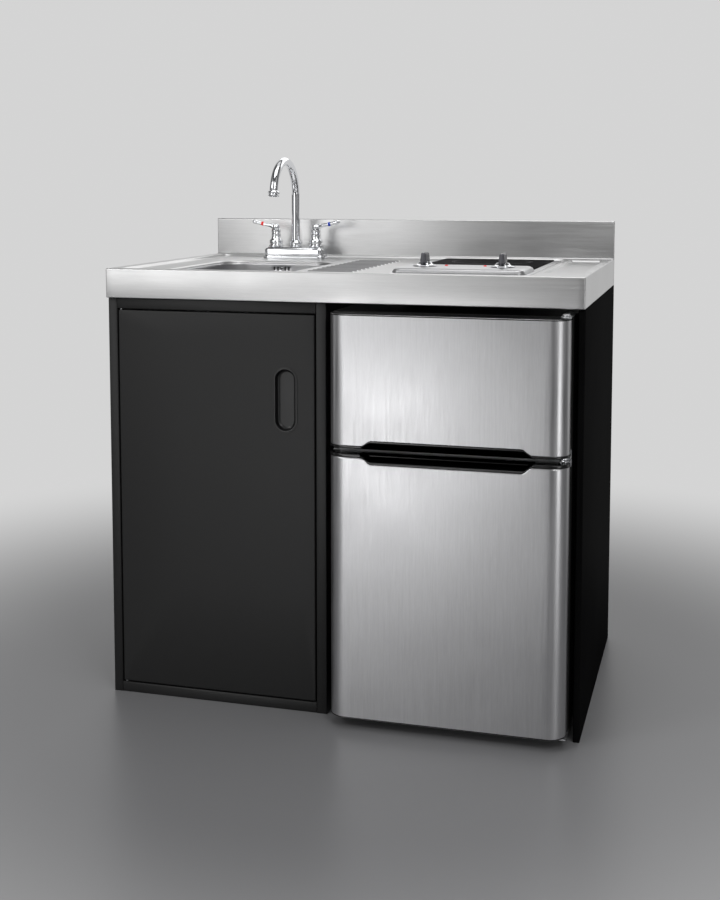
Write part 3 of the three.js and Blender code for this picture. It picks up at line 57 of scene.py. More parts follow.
Rows = tuple[Pair, ...]
Radii = float | tuple[float, ...]  # one for all corners, or one for each
Box = tuple[float, float, float, float]  # low and high across, then low and high up or back
Run = tuple[float, float, float]  # a stretch of close grid lines: from, to and step
Place = tuple[float, float, float]
Colour = tuple[float, float, float]
Socket = bpy.types.NodeSocket
Sockets = bpy.types.bpy_prop_collection
Value = Socket | float

LOG = logging.getLogger("kitchenette")
ORIGIN = np.array([495.0, 292.5, 0.0])  # the shared frame's origin, in the maker's frame
METRE = 1000.0  # in millimetres
X_WAY, Y_WAY = np.array([1.0, 0.0, 0.0]), np.array([0.0, 1.0, 0.0])
QUARTER = np.pi / 2
CLOSEST = 0.25  # grid lines nearer than this become one
SAME_PLACE = 1e-4  # outline points nearer than this are one
MERGED, FLAT_FACE = 2e-6, 1e-7  # metres within which mesh points merge, and edges count as no edge


# ------------ shape arithmetic
class Axis(Enum):
    """The direction that an outline is carried along."""

    X = "x"
    Y = "y"
    Z = "z"


def unit_rows(vectors: Array) -> Array:
    """Each vector divided by its own length."""
    return vectors / np.maximum(np.linalg.norm(vectors, axis=-1, keepdims=True), 1e-12)


def ease(share: Array) -> Array:
    """A smooth step: three times the square less twice the cube, held between 0 and 1."""
    held = np.clip(share, 0.0, 1.0)
    return held * held * (3.0 - 2.0 * held)


def lines(low: float, high: float, step: float, *close: Run) -> Array:
    """Grid lines from low to high, about `step` apart, with closer runs.

    Args:
        low: The first line.
        high: The last line.
        step: The widest space between lines.
        close: Runs of (from, to, step) that are drawn closer.

    Returns:
        The sorted places of the lines.
    """
    runs = [np.linspace(low, high, int(np.ceil((high - low) / step)) + 1)]
    runs += [np.linspace(a, b, int(round((b - a) / s)) + 1) for a, b, s in close]
    places = np.unique(np.round(np.concatenate(runs), 3))
    places = places[(places >= low) & (places <= high)]
    gaps = np.diff(places, prepend=places[0] - 1.0)
    pinned = np.isin(places, np.round([v for a, b, _ in close for v in (a, b)] + [low, high], 3))
    return places[(gaps > CLOSEST) | pinned]


def rounded(corners: Array | Rows, radii: Radii, steps: int = 6, closed: bool = True) -> Array:
    """A polyline whose corners are arcs.

    Each arc touches both edges of its corner: its centre lies on the corner's bisector, the radius over the
    sine of half the angle away, and its points are the two touching radii weighed by sines of the turn.

    Args:
        corners: Corner points, shape (n, 2) or (n, 3).
        radii: One radius, or one for each corner.
        steps: Points of each arc.
        closed: Whether the last corner runs on to the first.

    Returns:
        The points, in order.
    """
    p = np.asarray(corners, float)
    r = np.broadcast_to(np.asarray(radii, float), len(p)).copy()
    if not closed:
        r[[0, -1]] = 0.0
    back = unit_rows(np.roll(p, 1, 0) - p)
    ahead = unit_rows(np.roll(p, -1, 0) - p)
    half = 0.5 * np.arccos(np.clip((back * ahead).sum(1), -1.0, 1.0))
    half = np.clip(half, 1e-3, QUARTER - 1e-6)
    reach = (r / np.tan(half))[:, None]
    centre = p + unit_rows(back + ahead) * (r / np.sin(half))[:, None]
    sweep = (np.pi - 2.0 * half)[:, None]
    t = np.linspace(0.0, 1.0, steps)[None, :]
    first = np.sin((1.0 - t) * sweep) / np.sin(sweep)
    last = np.sin(t * sweep) / np.sin(sweep)
    from_back = (p + back * reach - centre)[:, None]
    from_ahead = (p + ahead * reach - centre)[:, None]
    arcs = centre[:, None] + first[..., None] * from_back + last[..., None] * from_ahead
    if closed:
        return arcs.reshape(-1, p.shape[1])
    return np.concatenate([p[:1], arcs[1:-1].reshape(-1, p.shape[1]), p[-1:]])


def profile(corners: Array | Rows, radii: Radii, steps: int = 5) -> Array:
    """An open line whose corners between the first and the last point are arcs."""
    return rounded(corners, radii, steps, closed=False)


def rectangle(u0: float, u1: float, v0: float, v1: float, radius: float, steps: int = 8) -> Array:
    """A rectangle with round corners, anticlockwise, always with the same number of points."""
    return rounded(((u1, v0), (u1, v1), (u0, v1), (u0, v0)), radius, steps)


def circle(radius: float, sides: int) -> Array:
    """A circle as a closed section."""
    angle = np.linspace(0.0, 2 * np.pi, sides, endpoint=False)
    return radius * np.stack([np.cos(angle), np.sin(angle)], 1)


def distinct(outline: Array) -> Array:
    """The outline without points that repeat the one before."""
    step = np.linalg.norm(outline - np.roll(outline, 1, 0), axis=1)
    return outline[step > SAME_PLACE]


def anticlockwise(outline: Array) -> Array:
    """The outline in the direction in which its signed area is positive."""
    u, v = outline.T
    return outline if (u * np.roll(v, -1) - np.roll(u, -1) * v).sum() > 0 else outline[::-1]


def inset(outline: Array, distance: float, flattest: float = 0.4) -> Array:
    """The outline moved inwards: each point slides along the mitre of its two edges.

    Args:
        outline: An anticlockwise outline.
        distance: How far each edge moves.
        flattest: The least cosine between mitre and edge that is followed, so that sharp points don't shoot in.

    Returns:
        The moved outline.
    """
    ahead = unit_rows(np.roll(outline, -1, 0) - outline)
    behind = np.roll(ahead, 1, 0)
    normal_a = np.stack([-ahead[:, 1], ahead[:, 0]], 1)
    normal_b = np.stack([-behind[:, 1], behind[:, 0]], 1)
    mitre = unit_rows(normal_a + normal_b)
    lean = np.maximum((mitre * normal_a).sum(1), flattest)[:, None]
    return outline + mitre / lean * distance


def smooth_path(places: Array | tuple[Place, ...], samples: int) -> Array:
    """A cubic through the places whose slope at each is half the way between its neighbours.

    Args:
        places: The places, shape (n, 3).
        samples: Points of the path.

    Returns:
        The path.
    """
    p = np.asarray(places, float)
    padded = np.concatenate([2 * p[:1] - p[1:2], p, 2 * p[-1:] - p[-2:-1]])
    at = np.linspace(0.0, len(p) - 1.0, samples)
    i = np.minimum(at.astype(int), len(p) - 2)
    t = (at - i)[:, None]
    a, b, c, d = (padded[i + k] for k in range(4))
    bend = (2 * a - 5 * b + 4 * c - d) * t**2 + (3 * b - 3 * c + d - a) * t**3
    return 0.5 * (2 * b + (c - a) * t + bend)


def rounded_box_distance(x: Array, y: Array, box: Box, corner: float) -> Array:
    """How far points lie outside a rectangle with round corners, negative inside it.

    It is the length of what each place exceeds the box less its corners by, less the corner's radius.

    Args:
        x: Places across.
        y: Places back, of the same shape.
        box: The rectangle.
        corner: Its corners' radius.

    Returns:
        The distances.
    """
    x0, x1, y0, y1 = box
    qx = np.abs(x - (x0 + x1) / 2) - (x1 - x0) / 2 + corner
    qy = np.abs(y - (y0 + y1) / 2) - (y1 - y0) / 2 + corner
    return np.hypot(np.maximum(qx, 0), np.maximum(qy, 0)) + np.minimum(np.maximum(qx, qy), 0) - corner


def border(us: Array, vs: Array, steps: int) -> tuple[Array, Array]:
    """The border of a rectangle of grid lines, with the outward direction at each point.

    It runs down the low-u side, along the low-v side, up the high-u side and back along the high-v side. At a
    corner the point repeats while the direction turns a quarter.

    Args:
        us: Lines across, rising.
        vs: Lines up, rising.
        steps: Directions at each corner.

    Returns:
        The points and their directions, each of shape (n, 2).
    """
    quarter = np.linspace(0.0, QUARTER, steps)
    sides = ((us[:1], vs[::-1], np.pi), (us, vs[:1], 1.5 * np.pi), (us[-1:], vs, 0.0),
             (us[::-1], vs[-1:], 0.5 * np.pi))
    points, turns = [], []
    for u, v, turn in sides:
        side = np.stack(np.broadcast_arrays(u, v), 1)
        points += [side, np.repeat(side[-1:], steps - 2, 0)]
        turns += [np.full(len(side), turn), turn + quarter[1:-1]]
    angle = np.concatenate(turns)
    return np.concatenate(points), np.stack([np.cos(angle), np.sin(angle)], 1)


def in_plane(uv: Array, w: float | Array, axis: Axis) -> Array:
    """An outline's points put into space, at the place w along the axis across the outline."""
    u, v, w = np.broadcast_arrays(uv[..., 0], uv[..., 1], w)
    return np.stack({Axis.X: (w, u, v), Axis.Y: (u, w, v), Axis.Z: (u, v, w)}[axis], -1)


@dataclass
class Surface:
    """A mesh in the making: patches of points with the faces that join them."""

    points: list[Array] = field(default_factory=list)
    loops: list[Array] = field(default_factory=list)
    sizes: list[Array] = field(default_factory=list)
    count: int = 0

    def _add(self, points: Array, faces: Array) -> "Surface":
        """Keeps points, and faces that all have the same number of corners.

        Args:
            points: The points, shape (n, 3).
            faces: The places of each face's corners among all points.

        Returns:
            The surface itself.
        """
        self.points.append(np.asarray(points, float))
        self.loops.append(faces.ravel())
        self.sizes.append(np.full(len(faces), faces.shape[1]))
        self.count += len(points)
        return self

    def grid(self, rows: Array, wrap: bool = False, flip: bool = False, keep: Array | None = None) -> "Surface":
        """Adds a patch of four-sided faces.

        Args:
            rows: Points, shape (rows, columns, 3).
            wrap: Whether the last column joins the first.
            flip: Whether the faces turn the other way.
            keep: Which faces are made, shape (rows - 1, columns or columns - 1).

        Returns:
            The surface itself.
        """
        m, n = rows.shape[:2]
        index = np.arange(m * n).reshape(m, n) + self.count
        after = np.roll(index, -1, 1) if wrap else index[:, 1:]
        here = index if wrap else index[:, :-1]
        quads = np.stack([here[:-1], after[:-1], after[1:], here[1:]], -1)
        quads = quads[keep] if keep is not None else quads.reshape(-1, 4)
        return self._add(rows.reshape(-1, 3), quads[:, ::-1] if flip else quads)

    def face(self, ring: Array, flip: bool = False) -> "Surface":
        """Adds one face through a ring of points, turned the other way if asked."""
        index = np.arange(len(ring))[None] + self.count
        return self._add(ring, index[:, ::-1] if flip else index)

    def rings(self, rows: Array, start: bool = True, end: bool = True) -> "Surface":
        """Adds closed rings, joined in order.

        Args:
            rows: The rings, shape (rings, points, 3).
            start: Whether the first ring is covered.
            end: Whether the last ring is covered.

        Returns:
            The surface itself.
        """
        self.grid(rows, wrap=True)
        for covered, ring in ((start, rows[0]), (end, rows[-1])):
            if covered:
                self.face(ring)
        return self

    def prism(self, outline: Array, axis: Axis, low: float, high: float, edge: float = 0.4) -> "Surface":
        """Adds an outline carried along an axis, its two rims rounded by a quarter circle.

        Args:
            outline: Closed outline in the plane across the axis.
            axis: The direction of the carry.
            low: Where it starts.
            high: Where it ends.
            edge: Radius of the rims.

        Returns:
            The surface itself.
        """
        ring = distinct(anticlockwise(outline))
        turn = np.linspace(0.0, QUARTER, 4 if edge > 0.8 else 3)
        shrink = edge * (1.0 - np.sin(turn))
        rise = edge * (1.0 - np.cos(turn))
        levels = [(s, low + h) for s, h in zip(shrink, rise)]
        levels += [(s, high - h) for s, h in zip(shrink[::-1], rise[::-1])]
        return self.rings(np.stack([in_plane(inset(ring, s), w, axis) for s, w in levels]))

    def loft(self, box: Box, corner: float, line: Array, axis: Axis = Axis.Z, end: bool = True,
             start: bool = True, steps: int = 8) -> "Surface":
        """Adds a round-cornered rectangle that shrinks along an axis.

        Args:
            box: The rectangle where nothing is taken off.
            corner: Its corner radius there.
            line: Rows of (taken off each side, place along the axis).
            axis: The direction of the loft.
            end: Whether the last ring is covered.
            start: Whether the first ring is covered.
            steps: Points of each corner.

        Returns:
            The surface itself.
        """
        u0, u1, v0, v1 = box
        rows = [in_plane(rectangle(u0 + s, u1 - s, v0 + s, v1 - s, max(corner - s, 0.02), steps), w, axis)
                for s, w in line]
        return self.rings(np.stack(rows), start, end)

    def lathe(self, line: Array, origin: Place, sides: int, basis: Array | None = None) -> "Surface":
        """Adds a profile turned about an axis through the origin.

        Args:
            line: Rows of radius and height.
            origin: A point on the axis, from which heights count.
            sides: Points of each circle.
            basis: Rows are the two directions across the axis and the axis itself; upright if left out.

        Returns:
            The surface itself.
        """
        ring = in_plane(circle(1.0, sides), 0.0, Axis.Z)
        around = line[:, :1, None] * ring + line[:, 1:2, None] * (0.0, 0.0, 1.0)
        return self.grid(around @ (np.eye(3) if basis is None else basis) + np.array(origin), wrap=True)

    def tube(self, path: Array, section: Array, side: Array, scale: Array | None = None) -> "Surface":
        """Adds a section carried along a path, with both ends covered.

        Each ring lies across the path's direction: `side`, made square to it, carries the section's first
        number, and the product of the direction and `side` carries the second.

        Args:
            path: Points of the middle line, shape (n, 3).
            section: Closed section, shape (m, 2).
            side: A direction that the path never takes.
            scale: Size of the section at each point of the path.

        Returns:
            The surface itself.
        """
        along = unit_rows(np.gradient(path, axis=0))
        across = unit_rows(side - (along @ side)[:, None] * along)
        third = np.cross(along, across)
        size = np.ones(len(path)) if scale is None else scale
        rows = section[None, :, :1] * across[:, None] + section[None, :, 1:] * third[:, None]
        return self.rings(path[:, None] + rows * size[:, None, None])

    def mesh(self, name: str, angle: float, is_open: bool) -> bpy.types.Mesh:
        """Turns the patches into a Blender mesh in metres.

        Args:
            name: The mesh's name.
            angle: Edges that turn more than this, in degrees, stay sharp.
            is_open: Whether the faces keep the way they were laid, instead of being turned outwards.

        Returns:
            The mesh, with doubled points merged.
        """
        places = (np.concatenate(self.points) - ORIGIN) / METRE
        corners = np.concatenate(self.loops).astype(np.int32)
        totals = np.concatenate(self.sizes).astype(np.int32)
        mesh = bpy.data.meshes.new(name)
        mesh.vertices.add(len(places))
        mesh.vertices.foreach_set("co", places.astype(np.float32).ravel())
        mesh.loops.add(len(corners))
        mesh.loops.foreach_set("vertex_index", corners)
        mesh.polygons.add(len(totals))
        mesh.polygons.foreach_set("loop_start", (np.cumsum(totals) - totals).astype(np.int32))
        mesh.update(calc_edges=True)
        work = bmesh.new()
        work.from_mesh(mesh)
        bmesh.ops.remove_doubles(work, verts=work.verts, dist=MERGED)
        bmesh.ops.dissolve_degenerate(work, edges=work.edges, dist=FLAT_FACE)
        if not is_open:
            bmesh.ops.recalc_face_normals(work, faces=work.faces)
        work.to_mesh(mesh)
        work.free()
        mesh.shade_smooth()
        mesh.set_sharp_from_angle(angle=np.radians(angle))
        return mesh


# ------------ nodes
class Nodes:
    """A node tree with short calls that add nodes and join them."""

    def __init__(self, tree: bpy.types.NodeTree) -> None:
        """Keeps the tree that the calls work on."""
        self.tree = tree

    def first(self, kind: str) -> bpy.types.Node:
        """The tree's first node of a kind."""
        return next(node for node in self.tree.nodes if node.type == kind)

    def add(self, kind: str, **settings: object) -> bpy.types.Node:
        """Adds a node.

        Args:
            kind: The node's type.
            settings: Its plain properties.

        Returns:
            The node.
        """
        node = self.tree.nodes.new(kind)
        for name, value in settings.items():
            setattr(node, name, value)
        return node

    def give(self, target: Socket, value: object) -> None:
        """Draws a link from a socket to the target, or sets the target's own value.

        Args:
            target: An input.
            value: A result, or a plain value.
        """
        if isinstance(value, Socket):
            self.tree.links.new(value, target)
        else:
            target.default_value = value

    def fill(self, node: bpy.types.Node, **values: object) -> bpy.types.Node:
        """Gives a node's inputs their values, or the sockets that feed them.

        Args:
            node: The node.
            values: What each input gets, by its name with _ for a space.

        Returns:
            The node itself.
        """
        for name, value in values.items():
            self.give(node.inputs[name.replace("_", " ")], value)
        return node

    def math(self, operation: str, *values: Value) -> Socket:
        """The result of a Math node on sockets or numbers."""
        return self.reckon("ShaderNodeMath", operation, *values).outputs[0]

    def reckon(self, kind: str, operation: str, *values: object) -> bpy.types.Node:
        """Adds a node that works on values.

        Args:
            kind: ShaderNodeMath or ShaderNodeVectorMath.
            operation: What it does.
            values: Sockets or plain values for its first inputs.

        Returns:
            The node.
        """
        node = self.add(kind, operation=operation)
        for target, value in zip(node.inputs, values):
            self.give(target, value)
        return node

    def noise(self, place: Socket, scale: float, detail: float, rough: float = 0.5) -> Socket:
        """The value of a noise with a fineness, a number of layers and the finer layers' share."""
        node = self.add("ShaderNodeTexNoise")
        return self.fill(node, Vector=place, Scale=scale, Detail=detail, Roughness=rough).outputs["Fac"]

    def spread(self, value: Socket, low: float, high: float, new_low: float = 0.0,
               new_high: float = 1.0) -> Socket:
        """A value mapped from the span low to high onto a new span, whose ends hold."""
        spans = {"From_Min": low, "From_Max": high, "To_Min": new_low, "To_Max": new_high}
        return self.fill(self.add("ShaderNodeMapRange"), Value=value, **spans).outputs["Result"]

    def blend(self, factor: Socket, low: Socket | Colour, high: Colour, way: str = "MIX") -> Socket:
        """Mixes two colours.

        Args:
            factor: The second colour's share.
            low: The first colour.
            high: The second colour.
            way: How they are joined.

        Returns:
            The mixed colour.
        """
        mix = self.add("ShaderNodeMix", data_type="RGBA", blend_type=way)
        for place, value in ((0, factor), (6, low), (7, high)):
            self.give(mix.inputs[place], (*value, 1.0) if isinstance(value, tuple) else value)
        return mix.outputs[2]


@dataclass(frozen=True)
class Pattern:
    """A node group that several finishes use, made at its first use.

    Inputs and outputs name its sockets and their kinds, and `wire` joins them.
    """

    name: str
    inputs: dict[str, str]
    outputs: dict[str, str]
    wire: Callable[[Nodes, Sockets, Sockets], None]

    def tree(self) -> bpy.types.NodeTree:
        """The group's tree.

        Returns:
            The tree, built once.
        """
        if self.name in bpy.data.node_groups:
            return bpy.data.node_groups[self.name]
        tree = bpy.data.node_groups.new(self.name, "ShaderNodeTree")
        for sockets, side in ((self.inputs, "INPUT"), (self.outputs, "OUTPUT")):
            for label, kind in sockets.items():
                tree.interface.new_socket(label, in_out=side, socket_type="NodeSocket" + kind)
        n = Nodes(tree)
        self.wire(n, n.add("NodeGroupInput").outputs, n.add("NodeGroupOutput").inputs)
        return tree


def wire_grain(n: Nodes, given: Sockets, result: Sockets) -> None:
    """Long fine scratches: noise on places stretched along the grain.

    Args:
        n: The group's nodes.
        given: Place and Stretch.
        result: Streak, Band and Height.
    """
    pulled = n.reckon("ShaderNodeVectorMath", "MULTIPLY", given["Place"], given["Stretch"]).outputs[0]
    fine = n.noise(pulled, 5.0, 3.0, 0.7)
    coarse = n.noise(pulled, 0.9, 4.0, 0.6)
    n.give(result["Streak"], n.spread(fine, 0.3, 0.7))
    n.give(result["Band"], n.spread(coarse, 0.35, 0.65))
    n.give(result["Height"], n.math("ADD", n.math("MULTIPLY", fine, 0.7), n.math("MULTIPLY", coarse, 0.3)))


def wire_mottle(n: Nodes, given: Sockets, result: Sockets) -> None:
    """Broad soft patches with small specks, as handling and cleaning leave.

    Args:
        n: The group's nodes.
        given: Place and Scale.
        result: Patch and Speck.
    """
    node = n.add("ShaderNodeVectorMath", operation="SCALE")
    place = n.fill(node, Vector=given["Place"], Scale=given["Scale"]).outputs[0]
    n.give(result["Patch"], n.spread(n.noise(place, 1.0, 3.0), 0.35, 0.65))
    n.give(result["Speck"], n.spread(n.noise(place, 38.0, 1.0), 0.62, 0.74))


def wire_coat(n: Nodes, given: Sockets, result: Sockets) -> None:
    """The fine pebbling of a sprayed or moulded surface: soft cells and a little noise.

    Args:
        n: The group's nodes.
        given: Place and Scale.
        result: Height.
    """
    node = n.add("ShaderNodeVectorMath", operation="SCALE")
    place = n.fill(node, Vector=given["Place"], Scale=given["Scale"]).outputs[0]
    cells = n.add("ShaderNodeTexVoronoi", feature="SMOOTH_F1")
    n.fill(cells, Vector=place, Scale=1.0)
    soft = n.noise(place, 0.45, 2.0)
    n.give(result["Height"], n.math("ADD", n.math("MULTIPLY", cells.outputs["Distance"], 0.6), soft))


def wire_rings(n: Nodes, given: Sockets, result: Sockets) -> None:
    """A thin circle printed about a centre: a band where the distance to it is near the radius.

    Args:
        n: The group's nodes.
        given: Place, Centre, Radius and Width.
        result: Mark.
    """
    flat = n.reckon("ShaderNodeVectorMath", "MULTIPLY", given["Place"], (1.0, 1.0, 0.0)).outputs[0]
    away = n.reckon("ShaderNodeVectorMath", "DISTANCE", flat, given["Centre"]).outputs["Value"]
    off = n.math("ABSOLUTE", n.math("SUBTRACT", away, given["Radius"]))
    n.give(result["Mark"], n.math("LESS_THAN", off, given["Width"]))


SCALED = {"Place": "Vector", "Scale": "Float"}
BRUSHED_GRAIN = Pattern("brushed_grain", {"Place": "Vector", "Stretch": "Vector"},
                        {"Streak": "Float", "Band": "Float", "Height": "Float"}, wire_grain)
SURFACE_MOTTLE = Pattern("surface_mottle", SCALED, {"Patch": "Float", "Speck": "Float"}, wire_mottle)
COAT_GRAIN = Pattern("coat_grain", SCALED, {"Height": "Float"}, wire_coat)
RING_MARKS = Pattern("ring_marks", {"Place": "Vector", "Centre": "Vector", "Radius": "Float", "Width": "Float"},
                     {"Mark": "Float"}, wire_rings)


# ------------ finishes
class Paint(Nodes):
    """A material's nodes, with its shader and its Object coordinates at hand."""

    def __init__(self, material: bpy.types.Material) -> None:
        """Finds the material's shader and adds its coordinates.

        Args:
            material: The material that the nodes belong to.
        """
        super().__init__(material.node_tree)
        self.shader = self.first("BSDF_PRINCIPLED")
        self.coordinates = self.add("ShaderNodeTexCoord").outputs
        self.place = self.coordinates["Object"]

    def set(self, **values: object) -> None:
        """Gives the shader's inputs their values, or the sockets that feed them."""
        self.fill(self.shader, **values)

    def pattern(self, pattern: Pattern, **values: object) -> Sockets:
        """The results of a node group on the surface, with the group's own values."""
        node = self.add("ShaderNodeGroup", node_tree=pattern.tree())
        return self.fill(node, Place=self.place, **values).outputs

    def tint(self, factor: Socket, low: Colour, high: Colour) -> None:
        """Mixes two colours by a factor into the base colour."""
        self.set(Base_Color=self.blend(factor, low, high))

    def bump(self, height: Socket, strength: float, depth: float) -> None:
        """Turns a height from 0 to 1, which is `depth` metres high, into the surface's normal."""
        node = self.fill(self.add("ShaderNodeBump"), Strength=strength, Distance=depth, Height=height)
        self.set(Normal=node.outputs["Normal"])


class Grain(Enum):
    """The way that a brushed surface's scratches run, as the stretch of places across them, per metre."""

    ALONG_X = (7.0, 260.0, 260.0)
    ALONG_Z = (260.0, 260.0, 7.0)


@dataclass(frozen=True)
class Finish(ABC):
    """A material of the object: its name, a slot's name, which is not used, and its base colour."""

    name: str
    slot: str
    colour: Colour

    @abstractmethod
    def dress(self, paint: Paint) -> None:
        """Adds the finish's own nodes.

        Args:
            paint: The material's nodes.
        """

    def material(self) -> bpy.types.Material:
        """The finish as a Blender material.

        Returns:
            The material, made once.
        """
        if self.name in bpy.data.materials:
            return bpy.data.materials[self.name]
        material = bpy.data.materials.new(self.name)
        material.use_nodes = True
        material.diffuse_color = (*self.colour, 1.0)
        paint = Paint(material)
        paint.set(Base_Color=(*self.colour, 1.0))
        self.dress(paint)
        return material

    def shade(self, amount: float) -> Colour:
        """The base colour made darker or lighter by a factor."""
        return tuple(min(1.0, c * amount) for c in self.colour)


@dataclass(frozen=True)
class BrushedSteel(Finish):
    """Brushed stainless steel."""

    grain: Grain = Grain.ALONG_X
    roughness: float = 0.3
    contrast: float = 0.07
    depth: float = 0.000012

    def dress(self, paint: Paint) -> None:
        """Streaks tint the steel, change its gloss and give its scratches; broad patches dull it a little.

        Args:
            paint: The material's nodes.
        """
        grain = paint.pattern(BRUSHED_GRAIN, Stretch=self.grain.value)
        patch = paint.pattern(SURFACE_MOTTLE, Scale=7.0)["Patch"]
        streaks = paint.math("ADD", paint.math("MULTIPLY", grain["Streak"], 0.6),
                             paint.math("MULTIPLY", grain["Band"], 0.4))
        paint.tint(streaks, self.shade(1.0 - self.contrast), self.shade(1.0 + self.contrast))
        rough = paint.math("MULTIPLY_ADD", grain["Band"], 0.06, self.roughness)
        paint.set(Roughness=paint.math("ADD", rough, paint.math("MULTIPLY", patch, 0.05)), Metallic=1.0)
        paint.bump(grain["Height"], 0.35, self.depth)


@dataclass(frozen=True)
class DrainerSteel(BrushedSteel):
    """Brushed steel with a rectangle whose flat steel is darkened in colour as painted shade.

    Sizes are metres. `ends` is how far beyond the rectangle the painted highlight on the ribs' ends reaches,
    and `leaning` the span of slopes that count as no longer flat.
    """

    low: Pair = (0.0, 0.0)
    high: Pair = (0.0, 0.0)
    # how dark the painted shade makes the drainer's flat steel
    darker: float = 0.62
    edge: float = 0.004
    surface: Pair = (0.899, 0.9005)
    leaning: Pair = (0.3, 0.12)
    ends: Pair = (0.0085, 0.0065)
    # colour of the painted highlight on the ribs' ends
    painted_highlight: Colour = (0.95, 0.95, 0.96)

    def dress(self, paint: Paint) -> None:
        """The rectangle's mask is the least of four soft edges; it darkens the flat steel's colour as painted
        shade.

        The ribs' ends, which lean across, are lightened in colour as a painted highlight.

        Args:
            paint: The material's nodes.
        """
        super().dress(paint)
        streaked = paint.shader.inputs["Base Color"].links[0].from_socket
        parts = paint.add("ShaderNodeSeparateXYZ")
        paint.give(parts.inputs[0], paint.place)
        mask = None
        for part, low, high in zip(parts.outputs, self.low, self.high):
            for line, step in ((low, self.edge), (high, -self.edge)):
                side = paint.spread(part, line - step, line + step)
                mask = side if mask is None else paint.math("MINIMUM", mask, side)
        top = paint.spread(parts.outputs[2], *self.surface)
        facing = paint.add("ShaderNodeSeparateXYZ")
        paint.give(facing.inputs[0], paint.coordinates["Normal"])
        flat = paint.spread(paint.math("ABSOLUTE", facing.outputs[0]), *self.leaning)
        shadow = paint.math("MULTIPLY", paint.math("MULTIPLY", mask, top), flat)
        # painted shade: the flat, level steel inside the rectangle is darkened in colour
        across = paint.blend(shadow, streaked, (self.darker, self.darker, self.darker * 1.02), "MULTIPLY")
        # painted highlight: the ribs' leaning ends near the rectangle's sides are lightened in colour
        middle, half = (self.low[0] + self.high[0]) / 2, (self.high[0] - self.low[0]) / 2
        beside = paint.math("ABSOLUTE", paint.math("SUBTRACT", parts.outputs[0], middle))
        near = paint.spread(beside, *(half + end for end in self.ends))
        ends = paint.math("MULTIPLY", near, paint.math("SUBTRACT", 1.0, flat))
        paint.tint(paint.math("MULTIPLY", ends, top), across, self.painted_highlight)


@dataclass(frozen=True)
class Chrome(Finish):
    """Bright plating with faint water marks."""

    def dress(self, paint: Paint) -> None:
        """Patches and specks raise the gloss's roughness slightly.

        Args:
            paint: The material's nodes.
        """
        patch = paint.pattern(SURFACE_MOTTLE, Scale=60.0)
        marks = paint.math("MAXIMUM", patch["Patch"], patch["Speck"])
        paint.set(Roughness=paint.spread(marks, 0.0, 1.0, 0.045, 0.11), Metallic=1.0)
        paint.tint(patch["Patch"], self.shade(0.97), self.colour)


@dataclass(frozen=True)
class SprayedCoat(Finish):
    """Powder coat or enamel: dark and satin, with a fine pebbling and a little wear."""

    roughness: float = 0.42
    pebble: float = 1400.0
    gloss: float = 0.4
    coat: float = 0.0
    coat_roughness: float = 0.3
    patches: float = 5.0
    tints: Pair = (0.85, 1.2)
    wear: Pair = (-0.03, 0.05)
    relief: Pair = (0.25, 0.00004)

    def dress(self, paint: Paint) -> None:
        """Pebbling gives the normal; patches change colour and gloss.

        Args:
            paint: The material's nodes.
        """
        patch = paint.pattern(SURFACE_MOTTLE, Scale=self.patches)["Patch"]
        paint.tint(patch, *(self.shade(tint) for tint in self.tints))
        paint.set(Roughness=paint.spread(patch, 0.0, 1.0, *(self.roughness + worn for worn in self.wear)),
                  Specular_IOR_Level=self.gloss, Coat_Weight=self.coat, Coat_Roughness=self.coat_roughness)
        paint.bump(paint.pattern(COAT_GRAIN, Scale=self.pebble)["Height"], *self.relief)


@dataclass(frozen=True)
class MouldedPlastic(SprayedCoat):
    """Injection-moulded plastic, from matt to glossy, with a slighter texture of the same kind."""

    roughness: float = 0.3
    pebble: float = 2200.0
    gloss: float = 0.5
    coat_roughness: float = 0.08
    patches: float = 22.0
    tints: Pair = (0.96, 1.04)
    wear: Pair = (0.0, 0.04)
    relief: Pair = (0.12, 0.00003)


@dataclass(frozen=True)
class CeramicGlass(Finish):
    """Black ceramic glass with the zones' thin printed double rings.

    A zone is the place of its middle in the shared frame and its radius, in metres.
    """

    zones: tuple[Place, ...] = ()
    ring_gap: float = 0.004
    line_half: float = 0.0005
    print_colour: Colour = (0.16, 0.16, 0.17)

    def dress(self, paint: Paint) -> None:
        """The rings' masks are joined by maximum and lighten the glass; wiping marks change its gloss.

        Args:
            paint: The material's nodes.
        """
        mark = None
        for x, y, outer in self.zones:
            for radius in (outer, outer - self.ring_gap):
                ring = paint.pattern(RING_MARKS, Centre=(x, y, 0.0), Radius=radius, Width=self.line_half)
                mark = ring["Mark"] if mark is None else paint.math("MAXIMUM", mark, ring["Mark"])
        patch = paint.pattern(SURFACE_MOTTLE, Scale=14.0)["Patch"]
        paint.tint(mark, self.colour, self.print_colour)
        paint.set(Coat_Roughness=paint.spread(patch, 0.0, 1.0, 0.03, 0.08), Coat_Weight=0.12, Roughness=0.5,
                  Specular_IOR_Level=0.0)


@dataclass(frozen=True)
class ClearGlass(Finish):
    """Clear toughened glass with a green cast."""

    def dress(self, paint: Paint) -> None:
        """Patches change the gloss of a transmitting body.

        Args:
            paint: The material's nodes.
        """
        patch = paint.pattern(SURFACE_MOTTLE, Scale=12.0)["Patch"]
        paint.set(Roughness=paint.spread(patch, 0.0, 1.0, 0.02, 0.06), Transmission_Weight=0.9, IOR=1.5)


@dataclass(frozen=True)
class Lens(Finish):
    """A red lamp lens: a glossy tinted body with ribs inside. The tap's red index ring wears it too, where its
    glow is painted light.
    """

    def dress(self, paint: Paint) -> None:
        """Streaks tint the lens, which glows a little.

        Args:
            paint: The material's nodes.
        """
        grain = paint.pattern(BRUSHED_GRAIN, Stretch=(900.0, 20.0, 20.0))
        paint.tint(grain["Streak"], self.shade(0.8), self.colour)
        paint.set(Roughness=0.12, Emission_Color=(*self.colour, 1.0), Emission_Strength=0.35)


